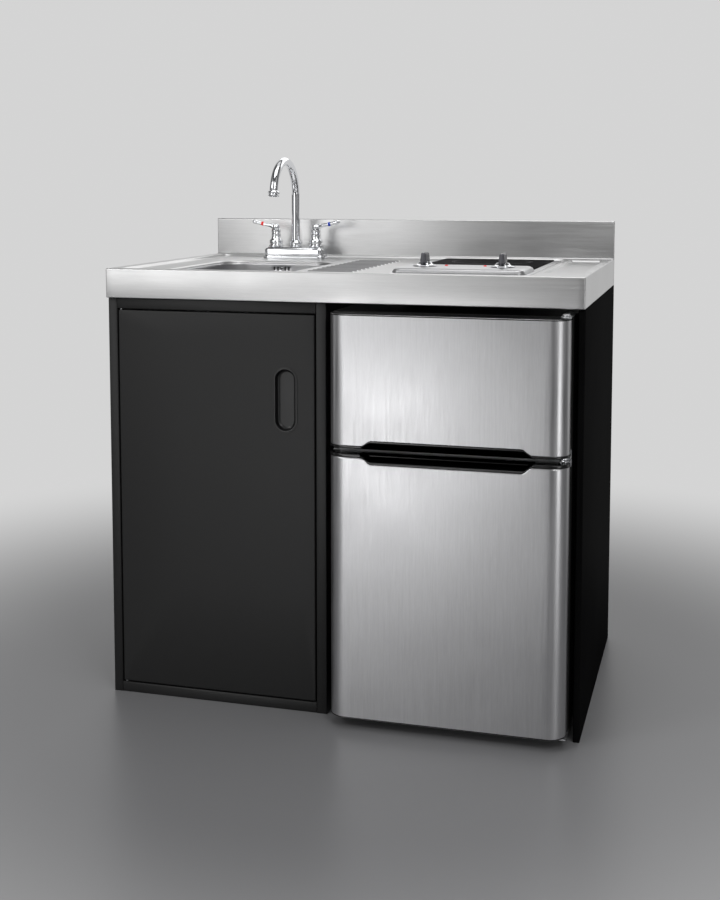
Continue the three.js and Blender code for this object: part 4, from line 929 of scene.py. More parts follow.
class Palette:
    """The finishes of the unit's own pieces."""

    worktop = DrainerSteel("worktop_steel", "stainless", (0.60, 0.60, 0.60), Grain.ALONG_X, 0.30,
                           low=(-0.088, -0.200), high=(0.013, 0.212))
    bowl = BrushedSteel("bowl_steel", "stainless", (0.56, 0.56, 0.57), Grain.ALONG_X, 0.29)
    hob_steel = BrushedSteel("hob_steel", "stainless", (0.60, 0.60, 0.61), Grain.ALONG_X, 0.29)
    door_steel = BrushedSteel("door_steel", "door_stainless", (0.56, 0.56, 0.57), Grain.ALONG_Z, 0.29, 0.09,
                              0.000008)
    chrome = Chrome("tap_chrome", "chrome", (0.83, 0.84, 0.86))
    zinc = BrushedSteel("zinc_plate", "zinc_steel", (0.48, 0.49, 0.50), Grain.ALONG_Z, 0.36, 0.12)
    dark_steel = SprayedCoat("dark_enamel", "dark_steel", (0.025, 0.025, 0.028), 0.4, 1100.0)
    coat = SprayedCoat("black_coat", "black_coat", (0.0018, 0.0018, 0.002), 0.4, gloss=0.32)
    matt = SprayedCoat("matt_coat", "black_coat", (0.004, 0.004, 0.0042), 0.6, 900.0, 0.0, 0.03)
    gloss = MouldedPlastic("gloss_black", "black_plastic", (0.004, 0.004, 0.0045), 0.22, 2600.0, coat=0.12)
    white = MouldedPlastic("liner_white", "white_plastic", (0.74, 0.75, 0.76), 0.34)
    satin = MouldedPlastic("satin_black", "black_plastic", (0.004, 0.004, 0.0043), 0.36, 1800.0)
    knob = MouldedPlastic("knob_grey", "knob_grey", (0.02, 0.02, 0.023), 0.2, coat=0.4)
    rubber = MouldedPlastic("grey_rubber", "rubber", (0.10, 0.10, 0.105), 0.62, 900.0)
    black_glass = CeramicGlass("hob_ceramic", "black_glass", (0.004, 0.004, 0.005),
                               ((0.237, -0.0005, 0.072), (0.237, 0.1655, 0.090)))
    glass = ClearGlass("shelf_glass", "shelf_glass", (0.80, 0.90, 0.87))
    # also on the tap's red index ring, which is no lamp: there its glow is painted light
    hot = Lens("index_red", "chrome", (0.75, 0.02, 0.015))
    cold = MouldedPlastic("index_blue", "chrome", (0.01, 0.06, 0.55), 0.15)


# ------------ assemblies
@dataclass
class Assembly(ABC):
    """A sub-assembly of the unit, which makes its pieces and dresses them."""

    @abstractmethod
    def build(self) -> None:
        """Makes every piece."""

    def piece(self, name: str, surface: Surface, finish: Finish, node: str = "", body: str = "unit",
              angle: float = 35.0, sheet: float = 0.0, is_open: bool = False) -> None:
        """Puts a surface into the scene as a piece of a body.

        Args:
            name: The piece's name.
            surface: Its patches.
            finish: Its finish.
            node: The solid node that it stands for, if any.
            body: The body that it moves with.
            angle: Edges that turn more than this, in degrees, stay sharp.
            sheet: Thickness that an open surface gets, in millimetres, away from its faces' front.
            is_open: Whether the faces keep the way they were laid.
        """
        mesh = surface.mesh(name, angle, is_open or sheet > 0)
        made = bpy.data.objects.new(name, mesh)
        bpy.context.scene.collection.objects.link(made)
        mesh.materials.append(finish.material())
        if sheet > 0:
            wall = made.modifiers.new("wall", "SOLIDIFY")
            wall.thickness = sheet / METRE
            wall.offset = -1.0
        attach(made, body)
        if node:
            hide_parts(node)
        LOG.info("%s: %d faces on %s", name, len(mesh.polygons), body)

    def dress(self, finish: Finish, *nodes: str) -> None:
        """Gives solid nodes that stay as they are their finish.

        Args:
            finish: The finish.
            nodes: The nodes' names.
        """
        for name in nodes:
            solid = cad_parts[name]
            solid.data.materials.clear()
            solid.data.materials.append(finish.material())
            LOG.info("%s: dressed as %s", name, finish.name)


@dataclass
class Worktop(Assembly):
    """The pressed steel top: apron, border, sunken deck with ribs, recess on the right and upstand.

    `close_x` and `close_y` are where its grid needs close lines: the steps of the deck and of the recess.
    """

    width: float = 990.0
    depth: float = 635.0
    top: float = 908.0
    sheet: float = 1.5
    apron: float = 61.0
    fold: float = 14.0
    fold_round: float = 2.0
    edge: float = 2.6
    upstand: float = 89.0
    upstand_wall: float = 12.0
    cove: float = 2.0
    deck: Box = (22.0, 884.0, 22.0, 613.0)
    deck_corner: float = 16.0
    deck_slope: float = 6.0
    deck_drop: float = 5.5
    recess: Box = (892.0, 972.0, 112.0, 574.0)
    recess_corner: float = 11.0
    recess_slope: float = 9.0
    bowl: Box = (100.0, 375.0, 60.0, 430.0)
    bowl_corner: float = 60.0
    collar: float = 12.0
    lip: float = 5.0
    ribs: int = 13
    rib_first: float = 104.0
    rib_pitch: float = 32.4
    rib_span: Pair = (405.0, 510.0)
    rib_half: float = 4.8
    rib_height: float = 2.5
    step_x: float = 14.0
    step_y: float = 12.0
    close_x: tuple[Run, ...] = ((20.0, 32.0, 1.5), (872.0, 904.0, 1.6), (961.0, 974.0, 1.3))
    close_y: tuple[Run, ...] = ((20.0, 32.0, 1.5), (110.0, 123.0, 1.3), (563.0, 576.0, 1.3),
                                (602.0, 614.0, 1.5))
    corner_steps: int = 7

    @property
    def wall(self) -> float:
        """The plane of the upstand's front."""
        return self.depth - self.upstand_wall

    def height(self, x: Array, y: Array) -> Array:
        """The top's height: the border's, less a smooth step into the deck and the recess, plus the ribs.

        Each hollow falls with the distance inside its outline, each rib rises with the closeness to its own
        middle line, and the cove climbs the upstand as a quarter circle.

        Args:
            x: Places across.
            y: Places back, of the same shape.

        Returns:
            Heights above the floor.
        """
        deck = ease(-rounded_box_distance(x, y, self.deck, self.deck_corner) / self.deck_slope)
        recess = ease(-rounded_box_distance(x, y, self.recess, self.recess_corner) / self.recess_slope)
        row = np.clip(np.round((y - self.rib_first) / self.rib_pitch), 0, self.ribs - 1)
        beside = y - self.rib_first - row * self.rib_pitch
        low, high = self.rib_span[0] + self.rib_half, self.rib_span[1] - self.rib_half
        beyond = np.maximum(np.maximum(low - x, x - high), 0.0)
        rib = self.rib_height * ease(1.0 - np.hypot(beyond, beside) / self.rib_half)
        climb = np.clip(y - (self.wall - self.cove), 0.0, self.cove)
        cove = self.cove - np.sqrt(np.maximum(self.cove**2 - climb**2, 0.0))
        return self.top - self.deck_drop * np.maximum(deck, recess) + rib + cove

    def skirt_profile(self) -> Array:
        """The apron in section: a quarter round, then down and in under the cabinet's front.

        Returns:
            Rows of (out from the rim, height above the apron's foot).
        """
        turn = np.linspace(0.0, QUARTER, 6)
        arc = np.stack([self.edge * np.sin(turn), self.apron - self.edge * (1 - np.cos(turn))], 1)
        foot = profile(((self.edge, self.apron - self.edge), (self.edge, 0.0), (self.edge - self.fold, 0.0)),
                       self.fold_round)
        return np.concatenate([arc[:-1], foot])

    def pressed_sheet(self) -> Surface:
        """The sheet as one surface: the top as a height field, the collar into the bowl and the skirt.

        Returns:
            The sheet's outer side.
        """
        x0, x1, y0, y1 = self.bowl
        u0, u1, v0, v1 = x0 - self.collar, x1 + self.collar, y0 - self.collar, y1 + self.collar
        half = self.rib_half
        ribs = [(c - half, c + half, 1.6) for c in self.rib_first + self.rib_pitch * np.arange(self.ribs)]
        ends = [(self.rib_span[0] - 1, self.rib_span[0] + half + 1, 1.0),
                (self.rib_span[1] - half - 1, self.rib_span[1] + 1, 1.0)]
        xs = lines(self.edge, self.width - self.edge, self.step_x, *self.close_x, *ends, (u0, u1, 8.3))
        ys = lines(self.edge, self.wall, self.step_y, *self.close_y, *ribs, (v0, v1, 9.2),
                   (self.wall - self.cove, self.wall, 0.5))
        x, y = np.meshgrid(xs, ys)
        mid_x, mid_y = (xs[1:] + xs[:-1]) / 2, (ys[1:] + ys[:-1]) / 2
        keep = ((mid_x < u0) | (mid_x > u1))[None, :] | ((mid_y < v0) | (mid_y > v1))[:, None]
        surface = Surface().grid(np.stack([x, y, self.height(x, y)], -1), keep=keep)
        near = 1e-6
        rim, _ = border(xs[(xs >= u0 - near) & (xs <= u1 + near)], ys[(ys >= v0 - near) & (ys <= v1 + near)], 2)
        surface.grid(self.collar_rows(rim), wrap=True, flip=True)
        outer, out = border(xs, ys, self.corner_steps)
        three_sides = 2 * len(ys) + len(xs) + 2 * (self.corner_steps - 2)
        outer, out = outer[:three_sides], out[:three_sides]
        line = self.skirt_profile()
        share = (self.height(outer[:, 0], outer[:, 1]) - self.top + self.apron) / self.apron
        places = outer[None] + out[None] * line[:, :1, None]
        z = self.top - self.apron + line[:, 1:2] * share[None]
        return surface.grid(np.concatenate([places, z[..., None]], -1), flip=True)

    def collar_rows(self, outer: Array) -> Array:
        """Rings from the bowl's mouth out to the hole in the grid.

        Each outer point is paired with its nearest point on the mouth, and the deck rounds down to the mouth
        as a quarter circle of the distance from it.

        Args:
            outer: Points on the hole's border.

        Returns:
            Rings of points, from the mouth outwards.
        """
        x0, x1, y0, y1 = self.bowl
        r = self.bowl_corner
        core = np.clip(outer, (x0 + r, y0 + r), (x1 - r, y1 - r))
        away = unit_rows(outer - core)
        mouth = core + away * r
        reach = np.linalg.norm(outer - mouth, axis=1)
        steps = self.lip * (1 - np.cos(np.linspace(0.0, QUARTER, 7)))
        distance = np.concatenate([np.repeat(steps[:, None], len(outer), 1), reach[None]])
        fall = self.lip - np.sqrt(np.maximum(self.lip**2 - np.clip(self.lip - distance, 0, None) ** 2, 0))
        flat = mouth[None] + away[None] * distance[..., None]
        return np.concatenate([flat, (self.top - self.deck_drop - fall)[..., None]], -1)

    def build(self) -> None:
        """The sheet, and the upstand with the back of the apron."""
        self.piece("worktop_sheet", self.pressed_sheet(), Palette.worktop, "worktop", angle=40.0,
                   sheet=self.sheet)
        foot, top = self.top - self.apron, self.top + self.upstand
        section = rounded(((self.wall, foot), (self.depth, foot), (self.depth, top), (self.wall, top)),
                          (0.3, 2.0, 3.0, 3.0))
        self.piece("worktop_upstand", Surface().prism(section, Axis.X, 0.0, self.width, 1.6), Palette.worktop,
                   "worktop", angle=30.0)


@dataclass
class Sink(Assembly):
    """The bowl with its overflow slots, the waste, the trap and the overflow hose."""

    box: Box = (100.0, 375.0, 60.0, 430.0)
    corner: float = 60.0
    deck: float = 902.5
    depth: float = 152.0
    floor_round: float = 30.0
    draft: float = 2.0
    dish: float = 2.5
    sheet: float = 1.2
    slot_pitch: float = 9.0
    slot_width: float = 3.7
    slot_height: float = 8.7
    slot_drop: float = 17.5
    waste_hole: float = 38.5
    waste_length: float = 72.0
    grid_bar: float = 1.4
    grid_reach: float = 35.2
    bend: float = 46.0
    pipe: float = 21.0
    nut: float = 27.2
    nut_ribs: int = 24
    hose: float = 9.0
    hose_ribs: int = 60

    @property
    def middle(self) -> Pair:
        """The bowl's middle in plan."""
        return (self.box[0] + self.box[1]) / 2, (self.box[2] + self.box[3]) / 2

    @property
    def floor(self) -> float:
        """The height of the bowl's floor."""
        return self.deck - self.depth

    @property
    def inlet(self) -> float:
        """The top of the trap, just under the waste."""
        return self.floor - self.waste_length - 0.3

    def wall_rows(self, slots: Array) -> Array:
        """The bowl's rings about a core rectangle: down the wall with its draft, and round into the floor.

        Args:
            slots: The middles of the overflow's slots, across, which get lines at both their sides.

        Returns:
            Rings of points, from the mouth down.
        """
        us = np.linspace(self.box[0] + self.corner, self.box[1] - self.corner, 10)
        us = np.sort(np.concatenate([us, slots - self.slot_width / 2, slots + self.slot_width / 2]))
        vs = np.linspace(self.box[2] + self.corner, self.box[3] - self.corner, 16)
        core, out = border(us, vs, 14)
        slot_z, half = self.deck - self.slot_drop, self.slot_height / 2
        heights = [self.deck - 4.9, self.deck - 9.0, slot_z + half, slot_z - half]
        heights += list(np.linspace(slot_z - 12.0, self.floor + self.floor_round + 6.0, 7))
        draft = np.interp(heights, [self.floor + self.floor_round, slot_z - 8.0], [self.draft, 0.0])
        turn = np.linspace(0.0, QUARTER, 9)
        round_in = self.draft + self.floor_round * (1 - np.cos(turn))
        round_z = self.floor + self.dish + self.floor_round * (1 - np.sin(turn))
        offset = self.corner - np.concatenate([draft, round_in])
        z = np.concatenate([heights, round_z])
        walls = core[None] + out[None] * offset[:, None, None]
        return np.concatenate([walls, np.broadcast_to(z[:, None, None], (*walls.shape[:2], 1))], -1)

    def bowl(self) -> Surface:
        """The bowl: its walls without the slots' faces, and a floor that falls to the waste.

        On the floor each point slides from the last ring to the waste's circle.

        Returns:
            The bowl's inner side.
        """
        middle = np.array(self.middle)
        slots = middle[0] + self.slot_pitch * np.array([-2, -1, 1, 2])
        rows = self.wall_rows(slots)
        mids = (rows[1:] + rows[:-1]) / 2
        mids = (mids + np.roll(mids, -1, 1)) / 2
        near = np.abs(mids[..., :1] - slots).min(-1) < self.slot_width / 2
        level = np.abs(mids[..., 2] - self.deck + self.slot_drop) < self.slot_height / 2
        keep = ~(near & level & (mids[..., 1] > self.box[3] - self.draft))
        surface = Surface().grid(rows, wrap=True, keep=keep)
        ring = rows[-1][:, :2]
        hole = middle + unit_rows(ring - middle) * self.waste_hole
        share = np.linspace(0.0, 1.0, 9)[:, None, None]
        flat = ring[None] * (1 - share) + hole[None] * share
        fall = self.floor + self.dish * (1 - ease(share * 1.1))
        floor = np.concatenate([flat, np.broadcast_to(fall, (*flat.shape[:2], 1))], -1)
        return surface.grid(floor, wrap=True)

    def waste(self) -> Surface:
        """The waste: a flange and a cup turned about the upright axis, with crossed bars and a round stud.

        Returns:
            The waste, from above the floor down to the trap.
        """
        x, y = self.middle
        floor, seat = self.floor, self.floor + 0.3
        bottom = floor - self.waste_length
        cup = ((0, bottom), (16, bottom), (19, bottom), (19, floor - 46), (38, floor - 30), (38.2, seat),
               (43, seat), (43, seat + 1.5), (35, seat + 2), (34.5, floor - 27), (16, floor - 43),
               (16, bottom + 1), (0, bottom + 1))
        surface = Surface().lathe(profile(cup, 1.2, 4), (x, y, 0.0), 64)
        bar = rectangle(-self.grid_bar, self.grid_bar, floor - 2.2, floor + 1.0, 1.2, 4)
        for axis, beside, along in ((Axis.X, y, x), (Axis.Y, x, y)):
            surface.prism(bar + (beside, 0.0), axis, along - self.grid_reach, along + self.grid_reach, 0.3)
        stud = profile(((0, -3), (6, -3), (6, 1.2), (4, 2.4), (0, 2.6)), 0.8)
        return surface.lathe(stud, (x, y, floor), 32)

    def trap(self) -> Surface:
        """The trap: a tube along a smooth line down, round the bend, up and back to the wall, with two nuts.

        A nut's radius waves with a cosine of the turn.

        Returns:
            The trap.
        """
        x, y = self.middle
        top, bend = self.inlet, self.bend
        rise = top - 36.0
        out = rise + 38.0
        angle = np.linspace(np.pi, 2 * np.pi, 7)
        arc = np.stack([np.full(7, x), y + bend + bend * np.cos(angle), top - 70.0 + bend * np.sin(angle)], 1)
        tail = ((x, y + 2 * bend + 6, rise), (x, y + 2 * bend - 6 + bend, out - 4), (x, y + bend + 90, out),
                (x, 595.0, out), (x, 635.0, out))
        path = smooth_path(np.concatenate([((x, y, top), (x, y, top - 35.0)), arc, tail]), 70)
        surface = Surface().tube(path, circle(self.pipe, 36), X_WAY)
        angle = np.linspace(0, 2 * np.pi, 4 * self.nut_ribs, endpoint=False)
        wave = self.nut + 0.8 * np.cos(self.nut_ribs * angle)
        ring = np.stack([x + wave * np.cos(angle), y + wave * np.sin(angle)], 1)
        for low in (top - 22.0, top - 62.0):
            surface.prism(ring, Axis.Z, low, low + 21.5, 0.8)
        return surface

    def overflow(self) -> Surface:
        """The overflow's hose: a tube whose size dips by a cosine at each rib.

        Returns:
            The hose, from behind the slots to the waste.
        """
        x, _ = self.middle
        back, end = self.box[3] + 10.5, self.floor - 22.0
        samples = 4 * self.hose_ribs
        places = ((x, back, 863.7), (x, back, 843.7), (x, back, end + 75), (x - 1, back - 4, end + 30),
                  (x - 4, back - 32, end + 2), (x, back - 80, end), (x, 319.5, end), (x, 299.5, end))
        path = smooth_path(places, samples)
        ribs = 1.0 - 0.08 * (0.5 - 0.5 * np.cos(np.linspace(0, 2 * np.pi * self.hose_ribs, samples)))
        return Surface().tube(path, circle(self.hose, 24), X_WAY, ribs)

    def build(self) -> None:
        """The sink's pieces."""
        self.piece("sink_bowl_shell", self.bowl(), Palette.bowl, "sink_bowl", angle=60.0, sheet=self.sheet)
        self.piece("sink_strainer", self.waste(), Palette.chrome, "sink_waste")
        self.piece("sink_trap_pipe", self.trap(), Palette.white, "sink_trap")
        self.piece("overflow_pipe", self.overflow(), Palette.rubber, "overflow_hose", angle=50.0)
        self.dress(Palette.rubber, "overflow_housing")
        screw = profile(((0, 0), (3.4, 0), (3.4, 0.7), (2.2, 1.6), (0, 1.8)), 0.4)
        forwards = np.array([(1.0, 0, 0), (0, 0, 1.0), (0, -1.0, 0)])
        head = Surface().lathe(screw, (self.middle[0], self.box[3], self.deck - self.slot_drop), 24, forwards)
        self.piece("overflow_screw", head, Palette.chrome)


@dataclass
class Tap(Assembly):
    """The centreset mixer tap."""

    x: float = 228.0
    y: float = 565.0
    seat: float = 902.8
    width: float = 156.0
    depth: float = 54.0
    height: float = 27.0
    corner: float = 15.0
    centres: float = 102.0
    shank: float = 52.0
    bonnet: float = 36.0
    reach: float = 61.0
    rise: float = 16.0
    girths: Rows = ((0, 6.4), (0.2, 6.2), (0.35, 4.6), (0.6, 4.0), (0.86, 4.5), (0.9, 5.0), (0.94, 5.0),
                    (1.0, 3.9))
    index_at: Pair = (0.64, 0.73)
    index_radius: float = 4.75
    pipe: float = 9.75
    arc: float = 80.0
    lift: float = 109.9
    sweep: float = 170.0
    collar: float = 16.0
    gap: float = 0.3
    base_line: Rows = ((1.0, 0.0), (0.0, 0.0), (0.0, 5.0), (2.2, 6.6), (2.6, 8.6), (2.6, 21.0), (5.5, 24.6),
                       (8.5, 25.0), (9.5, 27.0), (13.0, 27.0))
    bonnet_line: Rows = ((0, 0), (16.5, 0), (18, 1.5), (18, 3.2), (15.2, 5.2), (14.6, 8), (15.8, 11),
                         (16.6, 13.5), (15.8, 16), (12.2, 20), (10.6, 25), (11.6, 27.5), (11.6, 30),
                         (10.2, 32.5), (9.6, 36), (0, 36))
    hub_line: Rows = ((0, 0), (11, 0), (12, 1.5), (11.4, 5), (9.2, 9), (8.6, 13), (7.4, 17.5), (3.5, 20),
                      (0, 20))
    collar_line: Rows = ((10.05, 0), (15, 0), (16, 1.2), (16, 3), (13.4, 5), (13.2, 7), (15, 8.6), (15, 10.6),
                         (12.4, 14), (11.2, 16), (10.05, 16), (10.05, 0))
    outlet_line: Rows = ((0, 0.3), (10, 0.3), (12.6, 2.6), (14, 5), (13.6, 6.6), (11.2, 8.6), (11.4, 10),
                         (13.2, 12), (12.8, 13.3), (10.4, 13.3), (10.0, 11.0), (0, 10.6))

    @property
    def top(self) -> float:
        """The top of the base."""
        return self.seat + self.height

    def base(self) -> Surface:
        """The base: round-cornered rings over a stepped profile, with the two threaded shanks below.

        Returns:
            The base.
        """
        half_w, half_d = self.width / 2, self.depth / 2
        box = (self.x - half_w, self.x + half_w, self.y - half_d, self.y + half_d)
        line = profile(self.base_line, (0, 0.6, 1.4, 0.9, 0.8, 3.0, 1.2, 0.8, 1.0, 0))
        surface = Surface().loft(box, self.corner, line + (0.0, self.seat), steps=10)
        foot = self.seat - self.shank
        turns = np.arange(41)
        thread = np.stack([10.5 - 0.5 * (turns % 2), foot + 1.25 * turns], 1)
        line = np.concatenate([[(0, foot)], thread, [(0, self.seat + 1)]])
        for side in (-1, 1):
            surface.lathe(line, (self.x + side * self.centres / 2, self.y, 0.0), 24)
        return surface

    def lever(self, x: float, side: int) -> tuple[Surface, Surface]:
        """A lever with its index ring: a turned hub, and an arm whose girth follows the way along it.

        Args:
            x: The stem's place.
            side: -1 where the lever points left, 1 where it points right.

        Returns:
            The hub with its arm, and the ring.
        """
        z = self.top + self.bonnet + 2 * self.gap
        surface = Surface().lathe(profile(self.hub_line, 1.3), (x, self.y, z), 40)
        shares = np.array([0.0, 0.12, 0.25, 0.4, 0.55, 0.75, 1.0])
        climbs = np.array([0.0, 0.22, 0.38, 0.5, 0.6, 0.78, 1.0])
        height = z + 10.0 + self.rise * climbs
        places = np.stack([x + side * self.reach * shares, np.full_like(height, self.y), height], 1)
        samples = 60
        path = smooth_path(places, samples)
        along = np.linspace(0.0, 1.0, samples)
        girth = np.interp(along, *np.array(self.girths).T)
        tip = np.clip((along - 0.955) / 0.045, 0, 1)
        surface.tube(path, circle(1.0, 24), Y_WAY, girth * np.sqrt(np.maximum(1 - tip**2, 0.01)))
        low, high = self.index_at
        ring = Surface().tube(path[(along > low) & (along < high)], circle(self.index_radius, 28), Y_WAY)
        return surface, ring

    def spout_path(self) -> Array:
        """The spout's middle line: a straight riser, an arc over it and a short straight outlet.

        Returns:
            The line's points.
        """
        base = self.top + self.gap
        centre = base + self.collar + self.lift
        angle = np.radians(np.linspace(0.0, self.sweep, 60))
        arc = np.stack([np.full(60, self.x), self.y - self.arc + self.arc * np.cos(angle),
                        centre + self.arc * np.sin(angle)], 1)
        up = np.linspace(base, centre, 12, endpoint=False)
        riser = np.stack([np.full_like(up, self.x), np.full_like(up, self.y), up], 1)
        ahead = np.array([0.0, -np.sin(angle[-1]), np.cos(angle[-1])])
        return np.concatenate([riser, arc, arc[-1:] + ahead * 2.0])

    def build(self) -> None:
        """The tap's pieces, each on its own body."""
        chrome, z = Palette.chrome, self.top + self.gap
        self.piece("tap_body", self.base(), chrome, "tap_base", angle=50.0)
        self.dress(Palette.zinc, "tap_clamp")
        for side, word, index in ((-1, "left", Palette.hot), (1, "right", Palette.cold)):
            x = self.x + side * self.centres / 2
            bell = Surface().lathe(profile(self.bonnet_line, 1.1), (x, self.y, z), 56)
            self.piece(f"tap_bell_{word}", bell, chrome, f"tap_bonnet_{word}", angle=50.0)
            arm, ring = self.lever(x, side)
            self.piece(f"tap_handle_{word}", arm, chrome, f"tap_lever_{word}", f"{word}_lever", 50.0)
            # on the left, the red ring's lens finish glows: painted light, as the ring is no lamp
            self.piece(f"tap_index_{word}", ring, index, body=f"{word}_lever")
        collar = Surface().lathe(profile(self.collar_line, 0.9, 4), (self.x, self.y, z), 48)
        self.piece("tap_collar", collar, chrome, "tap_spout_nut", angle=50.0)
        path = self.spout_path()
        neck = Surface().tube(path, circle(self.pipe, 40), X_WAY)
        self.piece("tap_gooseneck", neck, chrome, "tap_spout", "spout", 50.0)
        ahead = unit_rows(path[-1] - path[-2])
        basis = np.stack([X_WAY, np.cross(ahead, X_WAY), ahead])
        outlet = Surface().lathe(profile(self.outlet_line, 0.8, 4), tuple(path[-1]), 48, basis)
        self.piece("tap_outlet", outlet, chrome, "tap_aerator", "spout", 50.0)


@dataclass
class Hob(Assembly):
    """The hob: frame, glass, raised control panel, knobs and lamps.

    A knob is a turned skirt with a grip of round-cornered rings, whose waist narrows upwards.
    """

    x: float = 732.0
    outer: Box = (589.0, 875.0, 50.0, 570.0)
    deck: float = 902.5
    gap: float = 0.3
    frame_height: float = 3.5
    tray: float = 1.5
    glass_box: Box = (605.0, 859.0, 202.0, 562.0)
    glass_thick: float = 3.5
    panel_box: Box = (597.0, 867.0, 57.0, 199.0)
    panel_height: float = 10.0
    knob_y: float = 128.0
    knob_spread: float = 80.0
    grip_half: Pair = (6.5, 20.0)
    lamp_y: float = 150.0
    lamp_spread: float = 40.0
    skirt_line: Rows = ((0, 0), (24, 0), (25, 0.8), (25, 1.8), (23.6, 2.6), (18.5, 3.4), (15.6, 4.4), (14, 6.8),
                        (12.8, 8.8), (0, 9))
    grip_line: Rows = ((0.4, 8.2), (0, 9), (0.2, 14), (1.4, 21), (1.8, 25.4), (3.4, 27.6), (4.4, 27.7))
    lens_line: Rows = ((0, -1), (3.4, -1), (3.4, 1.0), (2.4, 1.9), (0, 2.2))

    @property
    def frame_top(self) -> float:
        """The top of the steel frame."""
        return self.deck + self.frame_height

    @property
    def panel_top(self) -> float:
        """The top of the raised panel."""
        return self.frame_top + self.gap + self.panel_height

    def steel_frame(self) -> Surface:
        """The frame: rings that climb its outer edge, cross its top and turn down to the glass's seat.

        Returns:
            The frame, open below.
        """
        low, high = self.deck + self.gap, self.frame_top
        seat = low + self.tray
        rise = profile(((0.4, low), (0, low), (0, high), (14, high)), (0, 0.2, 2.2, 0), 6)[:-1]
        fall = ((-1.6, high), (-0.5, high - 0.5), (-0.3, high - 1.4), (-0.3, seat), (7, seat), (7, low))
        rows = []
        for (u0, u1, v0, v1), line, corner, shrink in ((self.outer, rise, 7, 1), (self.glass_box, fall, 3, 0)):
            for s, z in line:
                ring = rectangle(u0 + s, u1 - s, v0 + s, v1 - s, max(corner - shrink * s, 2.0))
                rows.append(in_plane(ring, z, Axis.Z))
        return Surface().rings(np.stack(rows), False, False)

    def panel(self) -> Surface:
        """The control panel: round-cornered rings up its sloping side and over its rounded rim.

        Returns:
            The panel, open below.
        """
        low = self.frame_top + self.gap
        line = profile(((0, low), (0, low + 1.5), (3.2, low + 7.0), (9.0, low + 9.6), (13.0, self.panel_top),
                        (30.0, self.panel_top)), (0, 1.0, 3.0, 3.0, 6.0, 0), 6)
        return Surface().loft(self.panel_box, 18.0, line, start=False, steps=10)

    def controls(self, side: int, word: str) -> None:
        """Makes a knob's skirt, grip and pointer, and the lamp beside it.

        Args:
            side: -1 for the left one, 1 for the right one.
            word: The same in words, as in the names of its nodes and its body.
        """
        x, y, z = self.x + side * self.knob_spread, self.knob_y, self.panel_top + self.gap
        knob, body = f"hob_knob_{word}", f"{word}_knob"
        skirt = Surface().lathe(profile(self.skirt_line, 1.2), (x, y, z), 72)
        self.piece(f"{knob}_skirt", skirt, Palette.chrome, knob, body, 40.0)
        line = profile(np.array(self.grip_line) + (0.0, z), (0, 0.4, 4, 4, 1.6, 1.2, 0))
        half_w, half_d = self.grip_half
        grip = Surface().loft((x - half_w, x + half_w, y - half_d, y + half_d), 5.0, line)
        self.piece(f"{knob}_grip", grip, Palette.knob, knob, body, 40.0)
        pointer = rectangle(x - 0.7, x + 0.7, y - 17.0, y - 5.0, 0.5, 4)
        top = self.panel_top + 28.0
        bar = Surface().prism(pointer, Axis.Z, top - 1.0, top + 0.05, 0.1)
        self.piece(f"{knob}_pointer", bar, Palette.white, body=body)
        lamp = Surface().lathe(profile(self.lens_line, 0.5),
                               (self.x + side * self.lamp_spread, self.lamp_y, self.panel_top), 32)
        self.piece(f"hob_lamp_{word}", lamp, Palette.hot)

    def build(self) -> None:
        """The hob's pieces."""
        self.piece("hob_surround", self.steel_frame(), Palette.hob_steel, "hob_frame", angle=45.0, is_open=True)
        low = self.deck + self.tray + 2 * self.gap
        high = low + self.glass_thick
        line = profile(((1.0, low), (0, low), (0, high), (4, high)), (0, 0.3, 1.3, 0), 6)
        plate = Surface().loft(self.glass_box, 3.0, line)
        self.piece("hob_ceramic_plate", plate, Palette.black_glass, "hob_glass", angle=45.0)
        self.piece("hob_panel", self.panel(), Palette.hob_steel, "hob_control_panel", angle=40.0, sheet=1.2)
        for side, word in ((-1, "left"), (1, "right")):
            self.controls(side, word)
        self.dress(Palette.zinc, "hob_tray", "hob_control_chassis", "hob_shaft_left", "hob_shaft_right")
        self.dress(Palette.dark_steel, "hob_element_front", "hob_element_rear")
        self.dress(Palette.gloss, "hob_terminal_box")


